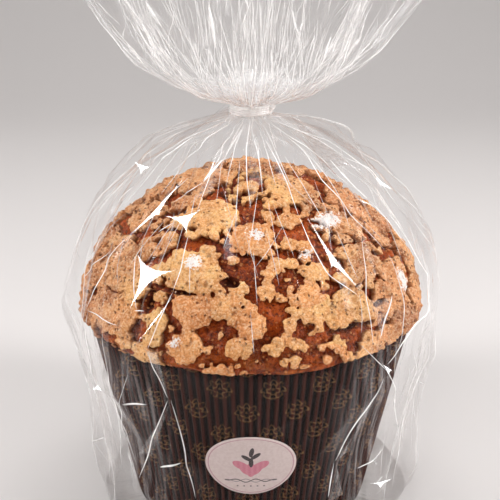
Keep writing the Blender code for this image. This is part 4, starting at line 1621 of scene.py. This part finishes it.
# %% Facets and flaps
# A facet: its middle as (turn, height in mm), the way it faces as (turn, tilt), then its three tips
FACETS = (
    ((-41, 173), (-30, 36), (-33, 186), (-48, 158), (-38.8, 171.5)),
    ((-25, 133), (-32, 40), (-22, 149), (-30, 116), (-27.5, 131)),
    ((25, 156), (36, 36), (19, 175), (33.5, 140.5), (25.2, 154.5)),
    ((-19, 191), (-30, 32), (-23, 186), (-15, 196), (-19, 189)),
    ((-34.0, 150.4), (-31, 39), (-40.4, 156.5), (-24.5, 154.9), (-34.8, 133.4)),
    ((-22.9, 173.1), (-32, 36), (-34.0, 169.9), (-18.2, 176.3), (-22.2, 167.8)),
    ((-63, 186), (-29, 34), (-71, 185), (-58, 187), (-61, 183)),
    ((62, 186), (34, 27), (52, 190), (70, 181), (61, 187)),
    ((53, 174), (34, 29), (44, 180), (58, 169), (51.5, 173.5)),
    ((41.7, 102.6), (35, 37), (40.6, 106.2), (43.5, 99.6), (41.4, 98.1)),
    ((52.5, 25.2), (35, 43), (47.4, 30.8), (58.9, 20.6), (51.3, 22.5)),
    ((-55.1, 80.9), (-28, 44), (-55.7, 84.1), (-52.1, 82.2), (-58.5, 75.2)),
    ((74, 175), (33, 28), (71, 182), (78, 169), (72, 175)),
)
# A flap of doubled film: its three tips
FLAPS = (
    ((0, 203.5), (6, 185), (0, 176)), ((-29.5, 120), (-26, 120), (-24, 91)),
    ((-23, 94), (-39, 54), (-33, 56)), ((42, 101), (27, 57), (32, 60)), ((27.5, 57), (26, 30), (32, 34)),
    ((-56, 118), (-44, 60), (-50, 84)), ((40, 118), (46, 136), (36, 138)),
    ((12, 203), (20, 183), (14, 186)), ((-14, 203), (-24, 178), (-17, 182)),
    ((-60, 118), (-50, 36), (-58, 20)), ((58, 118), (56, 30), (64, 40)),
    ((130, 200), (150, 150), (134, 160)), ((-150, 203), (-130, 150), (-142, 165)),
)


def make_plates(name, film, rows, hollow, material):
    """Plates with three tips and hollow sides: each is thin, flat and closed. A plate faces a given way,
    or the way that its tips on the film give it."""
    at = film_surface(film)
    points, faces = [], []
    for *given, first_tip, second_tip, third_tip in rows:
        corners = [at(*tip) for tip in (first_tip, second_tip, third_tip)]
        if given:
            place, facing_angles = given
            way, tilt = (math.radians(angle) for angle in facing_angles)
            facing = Vector((math.sin(way) * math.cos(tilt), -math.cos(way) * math.cos(tilt), math.sin(tilt)))
            middle = at(*place) + facing * FACET_LIFT
        else:
            facing = (corners[1] - corners[0]).cross(corners[2] - corners[0]).normalized()
            facing *= 1 if facing.dot(corners[0] * Vector((1, 1, 0))) > 0 else -1
            middle = sum(corners, Vector()) / 3 + facing * FLAP_LIFT
        corners = [c - facing * (c - middle).dot(facing) for c in corners]
        middle = sum(corners, middle) / 4
        if (corners[1] - corners[0]).cross(corners[2] - corners[0]).dot(facing) < 0:
            corners.reverse()
        outline = []
        for first, last in zip(corners, corners[1:] + corners[:1]):
            pull = (first + last) * 0.5 * (1 - hollow) + middle * hollow
            for i in range(PLATE_SIDE_POINTS):
                t = i / PLATE_SIDE_POINTS
                outline.append(first * (1 - t) ** 2 + pull * 2 * t * (1 - t) + last * t * t)
        lift = facing * PLATE_HALF_THICKNESS
        upper, count = len(points), len(outline)
        lower, hub = upper + count, upper + 2 * count
        points += [p + lift for p in outline] + [p - lift for p in outline] + [middle + lift, middle - lift]
        for i in range(count):
            n = (i + 1) % count
            faces += [(upper + i, upper + n, hub), (lower + n, lower + i, hub + 1)]
            faces.append((upper + n, upper + i, lower + i, lower + n))
    plates = mesh_object(name, points, faces, smooth=False)
    plates.data.materials.append(material)
    return plates


white_crease = crease_material()
body_creases = make_creases("body_creases", bag, BODY_CREASES, white_crease)
mouth_creases = make_creases("mouth_creases", mouth, MOUTH_CREASES, white_crease)
facets = make_plates("film_facets", bag, FACETS, 1.0, facet_material())
flaps = make_plates("film_flaps", bag, FLAPS, 0.25, flap_material())
for piece, node in ((body_creases, "bag"), (facets, "bag"), (flaps, "bag"), (mouth_creases, "mouth")):
    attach(piece, "root")
    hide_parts(node)
for piece in (body_creases, mouth_creases, facets, flaps):
    print(piece.name, len(piece.data.polygons), "faces")

# %% [markdown]
# ## The tie
# A length of thin clear plastic wire goes four times round the neck, and its two ends are twisted together
# at the right. Geometry Nodes wind it: a line of points becomes a spiral, and a round profile follows it.

# %% The tie
TIE_WRAPS = 4
TIE_WIRE = 0.0014
TIE_TAIL_TURN = 62
TIE_TAIL = 0.0045
TIE_TAIL_TWISTS = 1.5
TIE_CLEARANCE = 0.0003
TIE_WOBBLE = 0.00012
TIE_SIDES = 12
TIE_POINTS_A_WRAP = 48


def tie_material():
    paint = Paint("clear_tie")
    grain = paint.noise(paint.place(), 500.0, 2.0)
    tone = paint.mix(grain.step(0.35, 0.65), colour(228, 222, 220), colour(250, 247, 245))
    # Painted glow: the wire gives out a little light of its own, for the highlights on its turns
    paint.finish(Base_Color=tone, Roughness=0.10 + grain * 0.12, Coat_Weight=0.8 + grain * 0.2,
                 Emission_Color=(1.0, 0.99, 0.98), Emission_Strength=0.14)
    return paint.seen_through(0.86)


def make_tie():
    tree = Tree("wound_tie")
    wraps = tree.number("Wraps", TIE_WRAPS)
    radius = tree.number("Wound radius", NECK_RADIUS * (1 + PLEAT_DEPTH) + TIE_CLEARANCE + TIE_WIRE / 2)
    wire = tree.number("Wire radius", TIE_WIRE / 2)
    bottom = tree.number("Bottom", TIE_BOTTOM + TIE_WIRE / 2)
    rise = tree.number("Rise", TIE_TOP - TIE_BOTTOM - TIE_WIRE)
    line = tree.node("GeometryNodeCurvePrimitiveLine")
    dense = tree.node("GeometryNodeResampleCurve", None, line, Count=TIE_POINTS_A_WRAP * TIE_WRAPS + 1)
    share = tree.node("GeometryNodeSplineParameter")
    turn = share * wraps * (2 * math.pi) + math.radians(TIE_TAIL_TURN)
    wobble = (turn * 3.0).maths("SINE") * TIE_WOBBLE
    wound = tree.moved_to(dense, (radius + wobble) * turn.maths("SINE"),
                          (radius + wobble) * turn.maths("COSINE") * -1.0, bottom + rise * share + wobble)
    profile = tree.node("GeometryNodeCurvePrimitiveCircle", None, Resolution=TIE_SIDES, Radius=wire)
    # The two ends: a pair of strands twisted round each other, outwards and up
    way = math.radians(TIE_TAIL_TURN)
    strands = [wound]
    for start in (0.0, math.pi):
        angle = share * (2 * math.pi * TIE_TAIL_TWISTS) + start
        aside = angle.maths("COSINE") * TIE_WIRE * 0.5
        reach = radius + share * TIE_TAIL * 0.55
        height = bottom + rise * 0.5 + share * TIE_TAIL * 0.5 + angle.maths("SINE") * TIE_WIRE * 0.5
        strands.append(tree.moved_to(dense, reach * math.sin(way) + aside * math.cos(way),
                                     reach * -math.cos(way) + aside * math.sin(way), height))
    tube = tree.node("GeometryNodeCurveToMesh", None, tree.joined(*strands), profile, Fill_Caps=True)
    tie = tree.build("neck_tie", tube, tie_material())
    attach(tie, "root")
    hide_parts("tie")
    return tie


tie = make_tie()
print("tie:", len(tie.data.polygons), "faces")
